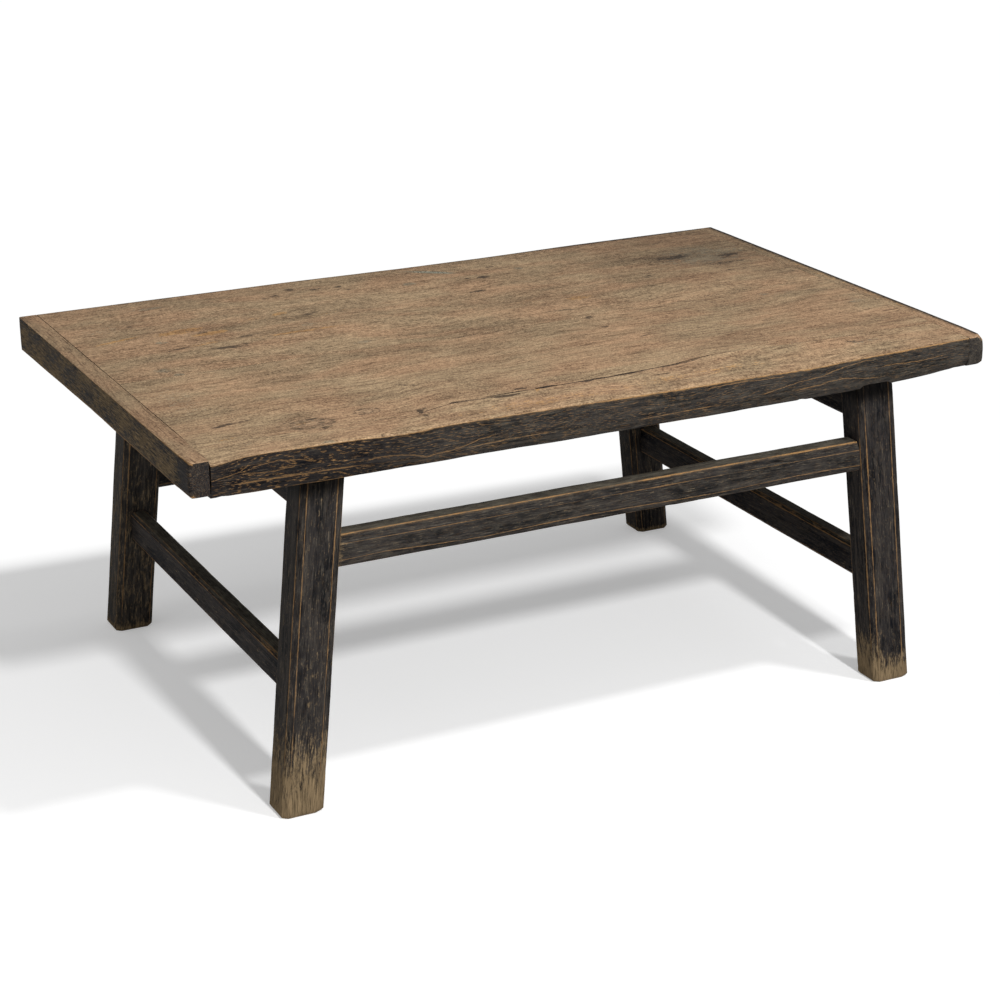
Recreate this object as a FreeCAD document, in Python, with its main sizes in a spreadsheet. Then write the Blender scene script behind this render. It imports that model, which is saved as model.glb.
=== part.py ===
import FreeCAD, Part
import os
import re
import Sketcher

# Low kang table: a thick plank top with a narrow cleat across each end, on four raked legs.
# Lengths are millimetres. X runs along the table, the front is -Y, and Z = 0 is the floor.

doc = FreeCAD.newDocument("KangTable")
sheet = doc.addObject("Spreadsheet::Sheet", "Sizes")

# Driving sizes, each written once: overall, top, legs, stretchers and rails, then joint fits.
SIZES = {
    "table_height": 456,
    "top_length": 1070,
    "top_depth": 670,
    "top_thickness": 42,
    "front_board_width": 70,
    "middle_board_width": 247,
    "cleat_width": 24,
    "cleat_bevel": 4,
    "edge_bevel_height": 11,
    "edge_bevel_depth": 6,
    "arris_ease": 1.5,
    "seam_tongue_length": 8,
    "seam_tongue_thickness": 12,
    "end_tongue_length": 12,
    "end_tongue_thickness": 14,
    "end_tongue_stop": 30,
    "end_overhang": 134,
    "side_overhang": 5,
    "end_splay": 44,
    "side_splay": 7,
    "leg_width": 54,
    "leg_depth": 47,
    "leg_chamfer": 6.5,
    "foot_ease": 2,
    "leg_tenon_width": 26,
    "leg_tenon_depth": 20,
    "leg_tenon_length": 22,
    "front_stretcher_underside": 298,
    "back_stretcher_underside": 199,
    "long_stretcher_height": 39,
    "long_stretcher_chamfer": 6,
    "long_tenon_length": 32,
    "long_tenon_thickness": 14,
    "end_stretcher_underside": 131,
    "end_stretcher_height": 43,
    "end_stretcher_thickness": 24,
    "end_stretcher_chamfer": 4,
    "end_rail_height": 56,
    "end_rail_thickness": 28,
    "end_rail_chamfer": 3,
    "cross_tenon_length": 28,
    "cross_tenon_thickness": 10,
    "tenon_shoulder": 6,
    "joint_clearance": 0.2,
    "cut_overrun": 5,
}
for row, (alias, value) in enumerate(SIZES.items(), start=1):
    sheet.set(f"A{row}", alias)
    sheet.set(f"B{row}", str(value))
    sheet.setAlias(f"B{row}", alias)
doc.recompute()


def sized(text):
    """Turn an expression in plain size names into one that reads the sheet."""
    return re.sub(r"\b([a-z][a-z_]*)\b", r"Sizes.\1", text)


def bind(thing, path, text):
    thing.setExpression(path, sized(text))


# Worked heights and slopes. The top overhangs the heads of the legs, which splay outwards
# to the floor along both X and Y.
UNDERSIDE = "(table_height - top_thickness)"
BOARD_LENGTH = "(top_length - 2 * cleat_width)"
RAKE_X = f"(end_splay / {UNDERSIDE})"
RAKE_Y = f"(side_splay / {UNDERSIDE})"


def leg_centre_x(height):
    """Distance of a leg's centre from the middle of the table, along X, at a height."""
    return f"((top_length - leg_width) / 2 - end_overhang + end_splay - {RAKE_X} * {height})"


def leg_centre_y(height):
    """The same along Y."""
    return f"((top_depth - leg_depth) / 2 - side_overhang + side_splay - {RAKE_Y} * {height})"


def plane_of(body, role):
    return next(feature for feature in body.Origin.OriginFeatures if feature.Role == role)


def place(body, x="0", y="0", z="0"):
    for axis, text in (("x", x), ("y", y), ("z", z)):
        bind(body, f"Placement.Base.{axis}", text)


def anchor(sketch, kind, edge, start, text):
    """Hold the first end of an edge at an expression's distance from the sketch's origin."""
    index = sketch.addConstraint(Sketcher.Constraint(kind, -1, 1, edge, 1, start))
    label = f"{kind}_{edge}"
    sketch.renameConstraint(index, label)
    bind(sketch, f"Constraints.{label}", text)


def outline(body, name, plane, loops, offset=None):
    """A sketch of closed polygons. Each corner is an (across, up) pair of expressions."""
    sketch = body.newObject("Sketcher::SketchObject", name)
    sketch.AttachmentSupport = [(plane_of(body, plane), "")]
    sketch.MapMode = "FlatFace"
    if offset:
        bind(sketch, "AttachmentOffset.Base.z", offset)
    for loop in loops:
        first = sketch.GeometryCount
        count = len(loop)
        # The corners start evenly round a circle and move to their places with the sizes.
        start = []
        for corner in range(count):
            turn = FreeCAD.Rotation(FreeCAD.Vector(0, 0, 1), 360 * (corner + 0.5) / count)
            start.append(turn.multVec(FreeCAD.Vector(1, 0, 0)))
        for corner in range(count):
            line = Part.LineSegment(start[corner], start[(corner + 1) % count])
            sketch.addGeometry(line, False)
        for corner, (across, up) in enumerate(loop):
            edge = first + corner
            following = first + (corner + 1) % count
            sketch.addConstraint(Sketcher.Constraint("Coincident", edge, 2, following, 1))
            anchor(sketch, "DistanceX", edge, start[corner].x, across)
            anchor(sketch, "DistanceY", edge, start[corner].y, up)
    return sketch


def pad(body, name, sketch, length, both_ways=True):
    feature = body.newObject("PartDesign::Pad", name)
    feature.Profile = sketch
    feature.SideType = "Symmetric" if both_ways else "One side"
    bind(feature, "Length", length)
    return feature


def pocket(body, name, sketch, length):
    """A cut that runs evenly to both sides of its sketch."""
    feature = body.newObject("PartDesign::Pocket", name)
    feature.Profile = sketch
    feature.SideType = "Symmetric"
    bind(feature, "Length", length)
    return feature


def rectangle(left, right, bottom, top):
    return [(left, bottom), (right, bottom), (right, top), (left, top)]


def centred(across, up, half_across, half_up):
    """A rectangle about a centre."""
    return rectangle(
        f"{across} - {half_across}", f"{across} + {half_across}", f"{up} - {half_up}", f"{up} + {half_up}"
    )


def new_body(label):
    body = doc.addObject("PartDesign::Body", label)
    body.Label = label
    return body


# Top boards. Three planks run the length of the table and meet on tongues along their seams.
# The two outer long edges are square above and bevelled inwards below.
def board_side(kind, side, half_width):
    """Corners up one long side of a board's section, side being -1 at the front and 1 behind."""
    low, high = "-top_thickness / 2", "top_thickness / 2"
    face = f"{side} * ({half_width})"
    if kind == "edge":
        return [
            (f"{side} * ({half_width} - edge_bevel_depth)", low),
            (face, "edge_bevel_height - top_thickness / 2"),
            (face, "top_thickness / 2 - arris_ease"),
            (f"{side} * ({half_width} - arris_ease)", high),
        ]
    if kind == "tongue":
        reach = f"{side} * ({half_width} + seam_tongue_length)"
        half = "seam_tongue_thickness / 2"
    else:
        reach = f"{side} * ({half_width} - seam_tongue_length - joint_clearance)"
        half = "(seam_tongue_thickness / 2 + joint_clearance)"
    below = [(face, low), (face, f"-{half}"), (reach, f"-{half}")]
    above = [(reach, half), (face, half), (face, high)]
    return below + above


def make_board(label, width, centre_y, front, back, end_tongue, leg_side=0):
    """A plank: its section along X, a tongue at each end, and mortises for a pair of legs."""
    body = new_body(label)
    place(body, y=centre_y, z="table_height - top_thickness / 2")
    half_width = f"{width} / 2"
    corners = board_side(front, -1, half_width) + board_side(back, 1, half_width)[::-1]
    pad(body, label + "_plank", outline(body, label + "_section", "YZ_Plane", [corners]), BOARD_LENGTH)
    half_tongue = "end_tongue_thickness / 2"
    tongue = rectangle(end_tongue[0], end_tongue[1], f"-{half_tongue}", half_tongue)
    tongue_section = outline(body, label + "_tongue_section", "YZ_Plane", [tongue])
    pad(body, label + "_end_tongues", tongue_section, f"{BOARD_LENGTH} + 2 * end_tongue_length")
    if leg_side:
        leg_x = leg_centre_x(UNDERSIDE)
        leg_y = f"({leg_side} * {leg_centre_y(UNDERSIDE)} - ({centre_y}))"
        half_x = "(leg_tenon_width / 2 + joint_clearance)"
        half_y = "(leg_tenon_depth / 2 + joint_clearance)"
        holes = [centred(f"{end} * {leg_x}", leg_y, half_x, half_y) for end in (-1, 1)]
        mouth = "(leg_tenon_length + joint_clearance - cut_overrun) / 2 - top_thickness / 2"
        sketch = outline(body, label + "_mortises", "XY_Plane", holes, mouth)
        pocket(body, label + "_leg_mortises", sketch, "leg_tenon_length + joint_clearance + cut_overrun")
    return body


BACK_BOARD_WIDTH = "(top_depth - front_board_width - middle_board_width)"
FRONT_BOARD_Y = "(front_board_width - top_depth) / 2"
MIDDLE_BOARD_Y = "front_board_width + (middle_board_width - top_depth) / 2"
BACK_BOARD_Y = f"(top_depth - {BACK_BOARD_WIDTH}) / 2"
GROOVE_REACH = "(seam_tongue_length + joint_clearance)"

top_pieces = [
    make_board(
        "front_top_board", "front_board_width", FRONT_BOARD_Y, "edge", "tongue",
        ("end_tongue_stop - front_board_width / 2", "front_board_width / 2"), -1,
    ),
    make_board(
        "middle_top_board", "middle_board_width", MIDDLE_BOARD_Y, "groove", "tongue",
        (f"{GROOVE_REACH} - middle_board_width / 2", "middle_board_width / 2"),
    ),
    make_board(
        "back_top_board", BACK_BOARD_WIDTH, BACK_BOARD_Y, "groove", "edge",
        (f"{GROOVE_REACH} - {BACK_BOARD_WIDTH} / 2", f"{BACK_BOARD_WIDTH} / 2 - end_tongue_stop"), 1,
    ),
]


# End cleats. Each is grooved on its inner side for the boards' tongues and stopped short
# of both ends, so that the front and back show plain end grain.
def make_cleat(label, end):
    body = new_body(label)
    place(body, x=f"{end} * (top_length - cleat_width) / 2", z="table_height - top_thickness / 2")
    inner = f"{-end} * cleat_width / 2"
    outer = f"{end} * cleat_width / 2"
    corners = [
        (inner, "-top_thickness / 2"),
        (f"{end} * (cleat_width / 2 - cleat_bevel)", "-top_thickness / 2"),
        (outer, "cleat_bevel - top_thickness / 2"),
        (outer, "top_thickness / 2 - arris_ease"),
        (f"{end} * (cleat_width / 2 - arris_ease)", "top_thickness / 2"),
        (inner, "top_thickness / 2"),
    ]
    pad(body, label + "_bar", outline(body, label + "_section", "XZ_Plane", [corners]), "top_depth")
    half_groove = "(end_tongue_thickness / 2 + joint_clearance)"
    bottom = f"{-end} * (cleat_width / 2 - end_tongue_length - joint_clearance)"
    mouth = f"{-end} * (cleat_width / 2 + cut_overrun)"
    groove = outline(
        body, label + "_groove_section", "XZ_Plane",
        [rectangle(mouth, bottom, f"-{half_groove}", half_groove)],
    )
    pocket(body, label + "_groove", groove, "top_depth - 2 * (end_tongue_stop - joint_clearance)")
    return body


top_pieces += [make_cleat("left_end_cleat", -1), make_cleat("right_end_cleat", 1)]


# Legs. Each is a raked square post with chamfered arrises. A stub tenon goes up into the top.
def octagon(centre_x, centre_y, inset="0"):
    """The chamfered section of a leg about a centre, drawn in by an inset."""
    half_x, half_y = f"(leg_width / 2 - {inset})", f"(leg_depth / 2 - {inset})"
    corners = []
    for side_x, side_y in ((1, 1), (-1, 1), (-1, -1), (1, -1)):
        along = (f"{centre_x} + {side_x} * ({half_x} - leg_chamfer)", f"{centre_y} + {side_y} * {half_y}")
        across = (f"{centre_x} + {side_x} * {half_x}", f"{centre_y} + {side_y} * ({half_y} - leg_chamfer)")
        corners += [across, along] if side_x == side_y else [along, across]
    return corners


# Underside and height of each piece that crosses between two legs.
FRONT_STRETCHER = ("front_stretcher_underside", "long_stretcher_height")
BACK_STRETCHER = ("back_stretcher_underside", "long_stretcher_height")
END_STRETCHER = ("end_stretcher_underside", "end_stretcher_height")
END_RAIL = (f"({UNDERSIDE} - end_rail_height)", "end_rail_height")


def middle_height(piece):
    return f"({piece[0]} + {piece[1]} / 2)"


def make_leg(label, end, side, stretcher):
    body = new_body(label)
    place(body, x=f"{end} * {leg_centre_x(0)}", y=f"{side} * {leg_centre_y(0)}")

    def lean_x(height):
        return f"{-end} * {RAKE_X} * {height}"

    def lean_y(height):
        return f"{-side} * {RAKE_Y} * {height}"

    levels = (("sole", "0", "foot_ease"), ("foot", "foot_ease", "0"), ("head", UNDERSIDE, "0"))
    sections = [
        outline(body, f"{label}_{name}", "XY_Plane", [octagon(lean_x(height), lean_y(height), inset)], height)
        for name, height, inset in levels
    ]
    post = body.newObject("PartDesign::AdditiveLoft", label + "_post")
    post.Profile = sections[0]
    post.Sections = sections[1:]
    post.Ruled = True

    stub = centred(lean_x(UNDERSIDE), lean_y(UNDERSIDE), "leg_tenon_width / 2", "leg_tenon_depth / 2")
    stub_sketch = outline(body, label + "_tenon_section", "XY_Plane", [stub], UNDERSIDE)
    pad(body, label + "_tenon", stub_sketch, "leg_tenon_length", both_ways=False)

    # Mortises open on the leg's two inner faces: one along X, two along Y.
    cheek = "(long_tenon_thickness / 2 + joint_clearance)"
    height = middle_height(stretcher)
    half_up = f"({stretcher[1]} / 2 - tenon_shoulder + joint_clearance)"
    hole = centred(lean_y(height), height, cheek, half_up)
    middle = "(leg_width + cut_overrun - long_tenon_length - joint_clearance) / 2"
    offset = f"{lean_x(height)} + {-end} * {middle}"
    sketch = outline(body, label + "_long_mortise_section", "YZ_Plane", [hole], offset)
    pocket(body, label + "_long_mortise", sketch, "long_tenon_length + joint_clearance + cut_overrun")

    cheek = "(cross_tenon_thickness / 2 + joint_clearance)"
    middle = "(leg_depth + cut_overrun - cross_tenon_length - joint_clearance) / 2"
    for name, piece in (("stretcher", END_STRETCHER), ("rail", END_RAIL)):
        height = middle_height(piece)
        half_up = f"({piece[1]} / 2 - tenon_shoulder + joint_clearance)"
        hole = centred(lean_x(height), height, cheek, half_up)
        # The offset runs the other way here, because this plane faces -Y.
        offset = f"-({lean_y(height)} + {-side} * {middle})"
        sketch = outline(body, f"{label}_{name}_mortise_section", "XZ_Plane", [hole], offset)
        pocket(body, f"{label}_{name}_mortise", sketch, "cross_tenon_length + joint_clearance + cut_overrun")
    return body


legs = [
    make_leg("front_left_leg", -1, -1, FRONT_STRETCHER),
    make_leg("front_right_leg", 1, -1, FRONT_STRETCHER),
    make_leg("back_left_leg", -1, 1, BACK_STRETCHER),
    make_leg("back_right_leg", 1, 1, BACK_STRETCHER),
]


# Stretchers and end rails. Each runs between two legs with its shoulders cut to their rake,
# its long arrises chamfered and a tenon at each end.
def make_bar(label, piece, along, centre, thickness, chamfer, tenon, lower_only=False):
    body = new_body(label)
    height = middle_height(piece)
    half_up = f"({piece[1]} / 2)"
    if along == "X":
        place(body, y=centre, z=height)
        side_plane, end_plane = "XZ_Plane", "YZ_Plane"
        inner, rake = f"({leg_centre_x(height)} - leg_width / 2)", RAKE_X
    else:
        place(body, x=centre, z=height)
        side_plane, end_plane = "YZ_Plane", "XZ_Plane"
        inner, rake = f"({leg_centre_y(height)} - leg_depth / 2)", RAKE_Y
    below = f"({inner} + {rake} * {half_up})"
    above = f"({inner} - {rake} * {half_up})"
    face = [(f"-{below}", f"-{half_up}"), (below, f"-{half_up}"), (above, half_up), (f"-{above}", half_up)]
    bar = pad(body, label + "_bar", outline(body, label + "_face", side_plane, [face]), thickness)
    doc.recompute()

    whole = bar.Shape.BoundBox
    long_edges = []
    for number, edge in enumerate(bar.Shape.Edges, start=1):
        upright = edge.BoundBox.ZLength > whole.ZLength / 2
        crosswise = max(edge.BoundBox.XLength, edge.BoundBox.YLength) < max(whole.XLength, whole.YLength) / 2
        if upright or crosswise or (lower_only and edge.CenterOfMass.z > whole.Center.z):
            continue
        long_edges.append(f"Edge{number}")
    arrises = body.newObject("PartDesign::Chamfer", label + "_arrises")
    arrises.Base = (bar, long_edges)
    bind(arrises, "Size", chamfer)

    half_tenon_up = f"({piece[1]} / 2 - tenon_shoulder)"
    section = centred("0", "0", f"{tenon}_tenon_thickness / 2", half_tenon_up)
    tenon_sketch = outline(body, label + "_tenon_section", end_plane, [section])
    pad(body, label + "_tenons", tenon_sketch, f"2 * ({inner} + {tenon}_tenon_length)")
    return body


bars = []
for name, side, piece in (("front", -1, FRONT_STRETCHER), ("back", 1, BACK_STRETCHER)):
    centre = f"{side} * {leg_centre_y(middle_height(piece))}"
    # As thick as the flat of the leg's inner face, so it meets the leg inside the chamfers.
    thickness = "(leg_depth - 2 * leg_chamfer)"
    bars.append(make_bar(f"{name}_stretcher", piece, "X", centre, thickness, "long_stretcher_chamfer", "long"))
for name, end in (("left", -1), ("right", 1)):
    centre = f"{end} * {leg_centre_x(middle_height(END_STRETCHER))}"
    bars.append(
        make_bar(
            f"{name}_end_stretcher", END_STRETCHER, "Y", centre,
            "end_stretcher_thickness", "end_stretcher_chamfer", "cross",
        )
    )
    centre = f"{end} * {leg_centre_x(middle_height(END_RAIL))}"
    bars.append(
        make_bar(
            f"{name}_end_rail", END_RAIL, "Y", centre,
            "end_rail_thickness", "end_rail_chamfer", "cross", lower_only=True,
        )
    )

# Every object is checked before anything is written.
doc.recompute()
pieces = top_pieces + legs + bars
for thing in doc.Objects:
    if "Invalid" in thing.State or "Error" in thing.State:
        raise RuntimeError(f"{thing.Name} failed: {thing.State}")
for body in pieces:
    if body.Shape.isNull() or not body.Shape.isValid() or len(body.Shape.Solids) != 1:
        raise RuntimeError(f"{body.Label} isn't one valid solid")
os.makedirs("parts", exist_ok=True)
for body in pieces:
    body.Shape.exportStep(f"parts/{body.Label}.step")
    print(body.Label, round(body.Shape.Volume), body.Shape.BoundBox)
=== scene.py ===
import bmesh
import bpy
import math
import numpy as np
from mathutils import Matrix, Vector


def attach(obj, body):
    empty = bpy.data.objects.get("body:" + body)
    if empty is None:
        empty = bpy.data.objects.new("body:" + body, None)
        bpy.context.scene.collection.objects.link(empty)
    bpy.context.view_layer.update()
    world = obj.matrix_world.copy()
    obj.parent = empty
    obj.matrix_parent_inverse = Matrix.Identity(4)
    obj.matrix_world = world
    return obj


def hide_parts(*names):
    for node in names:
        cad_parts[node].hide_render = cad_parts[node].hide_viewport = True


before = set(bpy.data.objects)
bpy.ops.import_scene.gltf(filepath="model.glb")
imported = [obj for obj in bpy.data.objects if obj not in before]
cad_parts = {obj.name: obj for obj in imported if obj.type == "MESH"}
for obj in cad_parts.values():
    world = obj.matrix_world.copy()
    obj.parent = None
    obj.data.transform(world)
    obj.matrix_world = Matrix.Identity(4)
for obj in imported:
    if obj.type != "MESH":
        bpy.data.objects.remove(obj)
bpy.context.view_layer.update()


# Legs. Four elm posts, sawn and planed square, chamfered on their long edges and splayed outwards
# both ways. Their stub tenons are in the top boards. The black lacquer is worn off every edge,
# and mopping and dragging have stripped the feet to grey wood.
MM = 0.001
UNDERSIDE = 414.0
END_SPLAY, SIDE_SPLAY = 44.0, 7.0
LEG_WIDTH, LEG_DEPTH, LEG_CHAMFER = 54.0, 47.0, 6.5
LEG_TOP_OUT_X, LEG_TOP_OUT_Y = 400.8, 330.0
LET_IN = 2.0
# The edge of a worn timber is rounded; where it meets the next one tight, it is hardly eased.
TIGHT_EASE = 0.35
# A side this many easings long has a point close to each corner, to keep the corner's light to itself.
LONG_SIDE = 6
NOWHERE = (9999.0, 9999.0)
MERGE = 0.00002
# Wear of the edges, nicks in them and hollows of the plane, each a noise drawn out along the timber:
# patches per metre, octaves, from, to, least, most and kind of step.
DRAWN_OUT = 0.4
RUBS = (32.0, 2.0, 0.35, 0.7, 0.15, 1.0, "LINEAR")
NICKS = (110.0, 2.0, 0.60, 0.74, 0.0, 0.9, "SMOOTHSTEP")
HOLLOWS = (14.0, 1.0, 0.3, 0.7, 0.0, 1.0, "LINEAR")
SEED_STEP = (0.37, 0.61, 1.73)
# A range, given as value, from, to, least and most, can start and end softly.
SOFT = {"interpolation_type": "SMOOTHSTEP"}


def add(tree, kind, inputs=(), **settings):
    """Adds a node with its settings, and with its inputs by name, or else in a list, from the first.

    An input is given a value, a socket, or a node's first output.
    """
    node = tree.nodes.new(kind)
    for name, value in settings.items():
        setattr(node, name, value)
    for key, value in inputs.items() if isinstance(inputs, dict) else enumerate(inputs):
        socket = node.inputs[key] if isinstance(key, int) else next(
            s for s in node.inputs if s.enabled and s.name == key)
        if isinstance(value, bpy.types.Node):
            value = next(s for s in value.outputs if s.enabled)
        if isinstance(value, bpy.types.NodeSocket):
            tree.links.new(value, socket)
        else:
            socket.default_value = value
    return node


def linear(hex_colour):
    """The linear colour of an sRGB hex value."""
    parts = [int(hex_colour[i:i + 2], 16) / 255 for i in (1, 3, 5)]
    return [p / 12.92 if p <= 0.04045 else ((p + 0.055) / 1.055) ** 2.4 for p in parts] + [1.0]


def smooth(low, high, value):
    """0 below low, 1 above high and a smooth step between."""
    t = np.clip((np.asarray(value, float) - low) / (high - low), 0, 1)
    return t * t * (3 - 2 * t)


def timber_tree():
    """Sweeps a section along a straight timber, then rubs its edges down and leaves plane hollows."""
    tree = bpy.data.node_groups.new("planed timber", "GeometryNodeTree")
    for label, kind in (("Section", "Geometry"), ("Length", "Float"), ("Ring spacing", "Float"),
                        ("Edge wear", "Float"), ("Wear reach", "Float"), ("Hollows", "Float"),
                        ("Seed", "Float"), ("Finish", "Material")):
        tree.interface.new_socket(label, in_out="INPUT", socket_type="NodeSocket" + kind)
    tree.interface.new_socket("Timber", in_out="OUTPUT", socket_type="NodeSocketGeometry")
    given = add(tree, "NodeGroupInput").outputs
    top = add(tree, "ShaderNodeCombineXYZ", {"Z": given["Length"]})
    line = add(tree, "GeometryNodeCurvePrimitiveLine", {"End": top})
    path = add(tree, "GeometryNodeResampleCurve",
               {"Curve": line, "Length": given["Ring spacing"]}, mode="LENGTH")
    outline = add(tree, "GeometryNodeMeshToCurve", {"Mesh": given["Section"]})
    bar = add(tree, "GeometryNodeCurveToMesh",
              {"Curve": path, "Profile Curve": outline, "Fill Caps": True})
    is_corner = add(tree, "GeometryNodeInputNamedAttribute", {"Name": "corner"}, data_type="BOOLEAN")
    corners = add(tree, "GeometryNodeSeparateGeometry",
                  {"Geometry": given["Section"], "Selection": is_corner}, domain="POINT")
    place = add(tree, "GeometryNodeInputPosition")
    across = add(tree, "ShaderNodeVectorMath", [place, (1, 1, 0)], operation="MULTIPLY")
    near = add(tree, "GeometryNodeProximity", {"Geometry": corners, "Sample Position": across},
               target_element="POINTS")
    bar = add(tree, "GeometryNodeStoreNamedAttribute",
              {"Geometry": bar, "Name": "arris", "Value": near.outputs["Distance"]},
              data_type="FLOAT", domain="POINT")
    shift = add(tree, "ShaderNodeVectorMath", {0: SEED_STEP, "Scale": given["Seed"]}, operation="SCALE")
    grain = add(tree, "ShaderNodeVectorMath", [place, shift], operation="ADD")
    bar = add(tree, "GeometryNodeStoreNamedAttribute", {"Geometry": bar, "Name": "grain", "Value": grain},
              data_type="FLOAT_VECTOR", domain="POINT")
    seen = add(tree, "GeometryNodeInputNamedAttribute", {"Name": "grain"}, data_type="FLOAT_VECTOR")
    arris = add(tree, "GeometryNodeInputNamedAttribute", {"Name": "arris"}, data_type="FLOAT")
    drawn = add(tree, "ShaderNodeVectorMath", [seen, (1, 1, DRAWN_OUT)], operation="MULTIPLY")
    worn = []
    for scale, octaves, low, high, least, most, step in (RUBS, NICKS, HOLLOWS):
        noise = add(tree, "ShaderNodeTexNoise", {"Vector": drawn, "Scale": scale, "Detail": octaves})
        worn.append(add(tree, "ShaderNodeMapRange", [noise, low, high, least, most],
                        interpolation_type=step))
    rub, nick, dip = worn
    loss = add(tree, "ShaderNodeMath", [rub, nick], operation="ADD")
    apart = add(tree, "ShaderNodeMath", [arris, given["Wear reach"]], operation="DIVIDE")
    fall = add(tree, "ShaderNodeMath",
               [add(tree, "ShaderNodeMath", [apart, -1.0], operation="MULTIPLY")],
               operation="EXPONENT")
    lost = add(tree, "ShaderNodeMath", [loss, fall], operation="MULTIPLY")
    cut = add(tree, "ShaderNodeMath", [lost, given["Edge wear"]], operation="MULTIPLY")
    inward = add(tree, "ShaderNodeMath", [dip, given["Hollows"], cut], operation="MULTIPLY_ADD")
    back = add(tree, "ShaderNodeMath", [inward, -1.0], operation="MULTIPLY")
    push = add(tree, "ShaderNodeVectorMath", {0: add(tree, "GeometryNodeInputNormal"), "Scale": back},
               operation="SCALE")
    bar = add(tree, "GeometryNodeSetPosition", {"Geometry": bar, "Offset": push})
    bar = add(tree, "GeometryNodeRealizeInstances", {"Geometry": bar})
    bar = add(tree, "GeometryNodeSetMaterial", {"Geometry": bar, "Material": given["Finish"]})
    add(tree, "NodeGroupOutput", {"Timber": bar})
    return tree


planed_timber = timber_tree()


def section(corners, spacing, ease, tight, fine):
    """Points of a closed section, anticlockwise, every spacing along its sides and round its corners."""
    points = []
    count = len(corners)
    for i in range(count):
        here, last, after = (np.array(corners[j % count], float) for j in (i, i - 1, i + 1))
        back, ahead = last - here, after - here
        length = np.linalg.norm(ahead)
        radius = TIGHT_EASE if i in tight else ease
        start = here + back / np.linalg.norm(back) * radius
        end = here + ahead / length * radius
        # Three points round off the corner.
        points += [start, (start + 2 * here + end) / 4, end]
        run = length - 2 * ease
        steps = max(1, round(run / fine.get(i, spacing)))
        cuts = [k / steps for k in range(1, steps)]
        if run > LONG_SIDE * ease:
            cuts = sorted(set(cuts) | {ease / run, 1 - ease / run})
        points += [end + ahead / length * run * c for c in cuts]
    area = sum(p[0] * q[1] - q[0] * p[1] for p, q in zip(points, points[1:] + points[:1]))
    return points if area > 0 else points[::-1]


def unscored(x, y, z):
    """No line is rubbed across this timber's faces: all three are a metre off."""
    return 1.0, 1.0, 1.0


def timber(name, corners, length, place, finish, seed, spacing=5.0, rings=4.0, ease=1.0,
           wear=0.5, reach=2.5, hollows=0.15, tight=(), fine={}, shown={}):
    """A swept and worn timber, with each point of it (across, across, along) put where place says.

    Each attribute in shown is worked out by its rule from where the points lie, in mm.
    """
    ring = section(corners, spacing, ease, tight, fine)
    corners = [c for i, c in enumerate(corners) if i not in tight] or [NOWHERE]
    base = bpy.data.meshes.new(name)
    edges = [(i, (i + 1) % len(ring)) for i in range(len(ring))]
    base.from_pydata([(x * MM, y * MM, 0) for x, y in [*ring, *corners]], edges, [])
    mark = base.attributes.new("corner", "BOOLEAN", "POINT")
    mark.data.foreach_set("value", [False] * len(ring) + [True] * len(corners))
    piece = bpy.data.objects.new(name, base)
    bpy.context.scene.collection.objects.link(piece)
    modifier = piece.modifiers.new("timber", "NODES")
    modifier.node_group = planed_timber
    sizes = {"Length": length * MM, "Ring spacing": rings * MM, "Edge wear": wear * MM,
             "Wear reach": reach * MM, "Hollows": hollows * MM, "Seed": float(seed), "Finish": finish}
    for item in planed_timber.interface.items_tree:
        if item.name in sizes:
            modifier[item.identifier] = sizes[item.name]
    bpy.context.view_layer.update()
    mesh = bpy.data.meshes.new_from_object(piece.evaluated_get(bpy.context.evaluated_depsgraph_get()))
    piece.modifiers.clear()
    piece.data = mesh
    mesh.name = name
    bpy.data.meshes.remove(base)
    points = np.empty(len(mesh.vertices) * 3, np.float32)
    mesh.vertices.foreach_get("co", points)
    placed = place(*(points.reshape(-1, 3).astype(float) / MM).T)
    mesh.vertices.foreach_set("co", (np.stack(placed, -1) * MM).astype(np.float32).ravel())
    for label, rule in {"scores": unscored, **shown}.items():
        found = rule(*placed)
        if isinstance(found, tuple):
            values = mesh.attributes.new(label, "FLOAT_VECTOR", "POINT")
            found = np.stack([part + 0 * placed[0] for part in found], -1)
            values.data.foreach_set("vector", found.astype(np.float32).ravel())
        else:
            values = mesh.attributes.new(label, "FLOAT", "POINT")
            values.data.foreach_set("value", (found + 0 * placed[0]).astype(np.float32))
    shape = bmesh.new()
    shape.from_mesh(mesh)
    bmesh.ops.remove_doubles(shape, verts=shape.verts, dist=MERGE)
    bmesh.ops.recalc_face_normals(shape, faces=shape.faces)
    # Each end is a fan round a middle point, so that what is stored along its rim stays at the rim.
    ends = [face for face in shape.faces if len(face.verts) > 4]
    for face in shape.faces:
        face.smooth = face not in ends
    layers = [*shape.verts.layers.float.values(), *shape.verts.layers.float_vector.values()]
    for face in ends:
        rim = list(face.verts)
        middle = bmesh.ops.poke(shape, faces=[face])["verts"][0]
        for layer in layers:
            middle[layer] = sum((v[layer] for v in rim[1:]), rim[0][layer]) / len(rim)
    shape.to_mesh(mesh)
    shape.free()
    return piece


def keep(piece, node):
    """The piece stands for its CAD node, which is hidden, and rides on the one body."""
    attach(piece, "root")
    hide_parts(node)


def new_finish(name):
    """A material with nothing in it yet, and its node tree."""
    material = bpy.data.materials.new(name)
    material.use_nodes = True
    material.node_tree.nodes.clear()
    return material, material.node_tree


def along_the_wood(tree, grain, kinds):
    """Noises that follow the grain, by name.

    Each kind has a size across the grain in mm, how much of the length counts, octaves and roughness.
    """
    found = {}
    for label, size, along, octaves, rough in kinds:
        drawn = add(tree, "ShaderNodeVectorMath", [grain, (1, 1, along)], operation="MULTIPLY")
        found[label] = add(tree, "ShaderNodeTexNoise", {"Vector": drawn, "Scale": 1 / (size * MM),
                                                        "Detail": octaves, "Roughness": rough})
    return found


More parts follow.
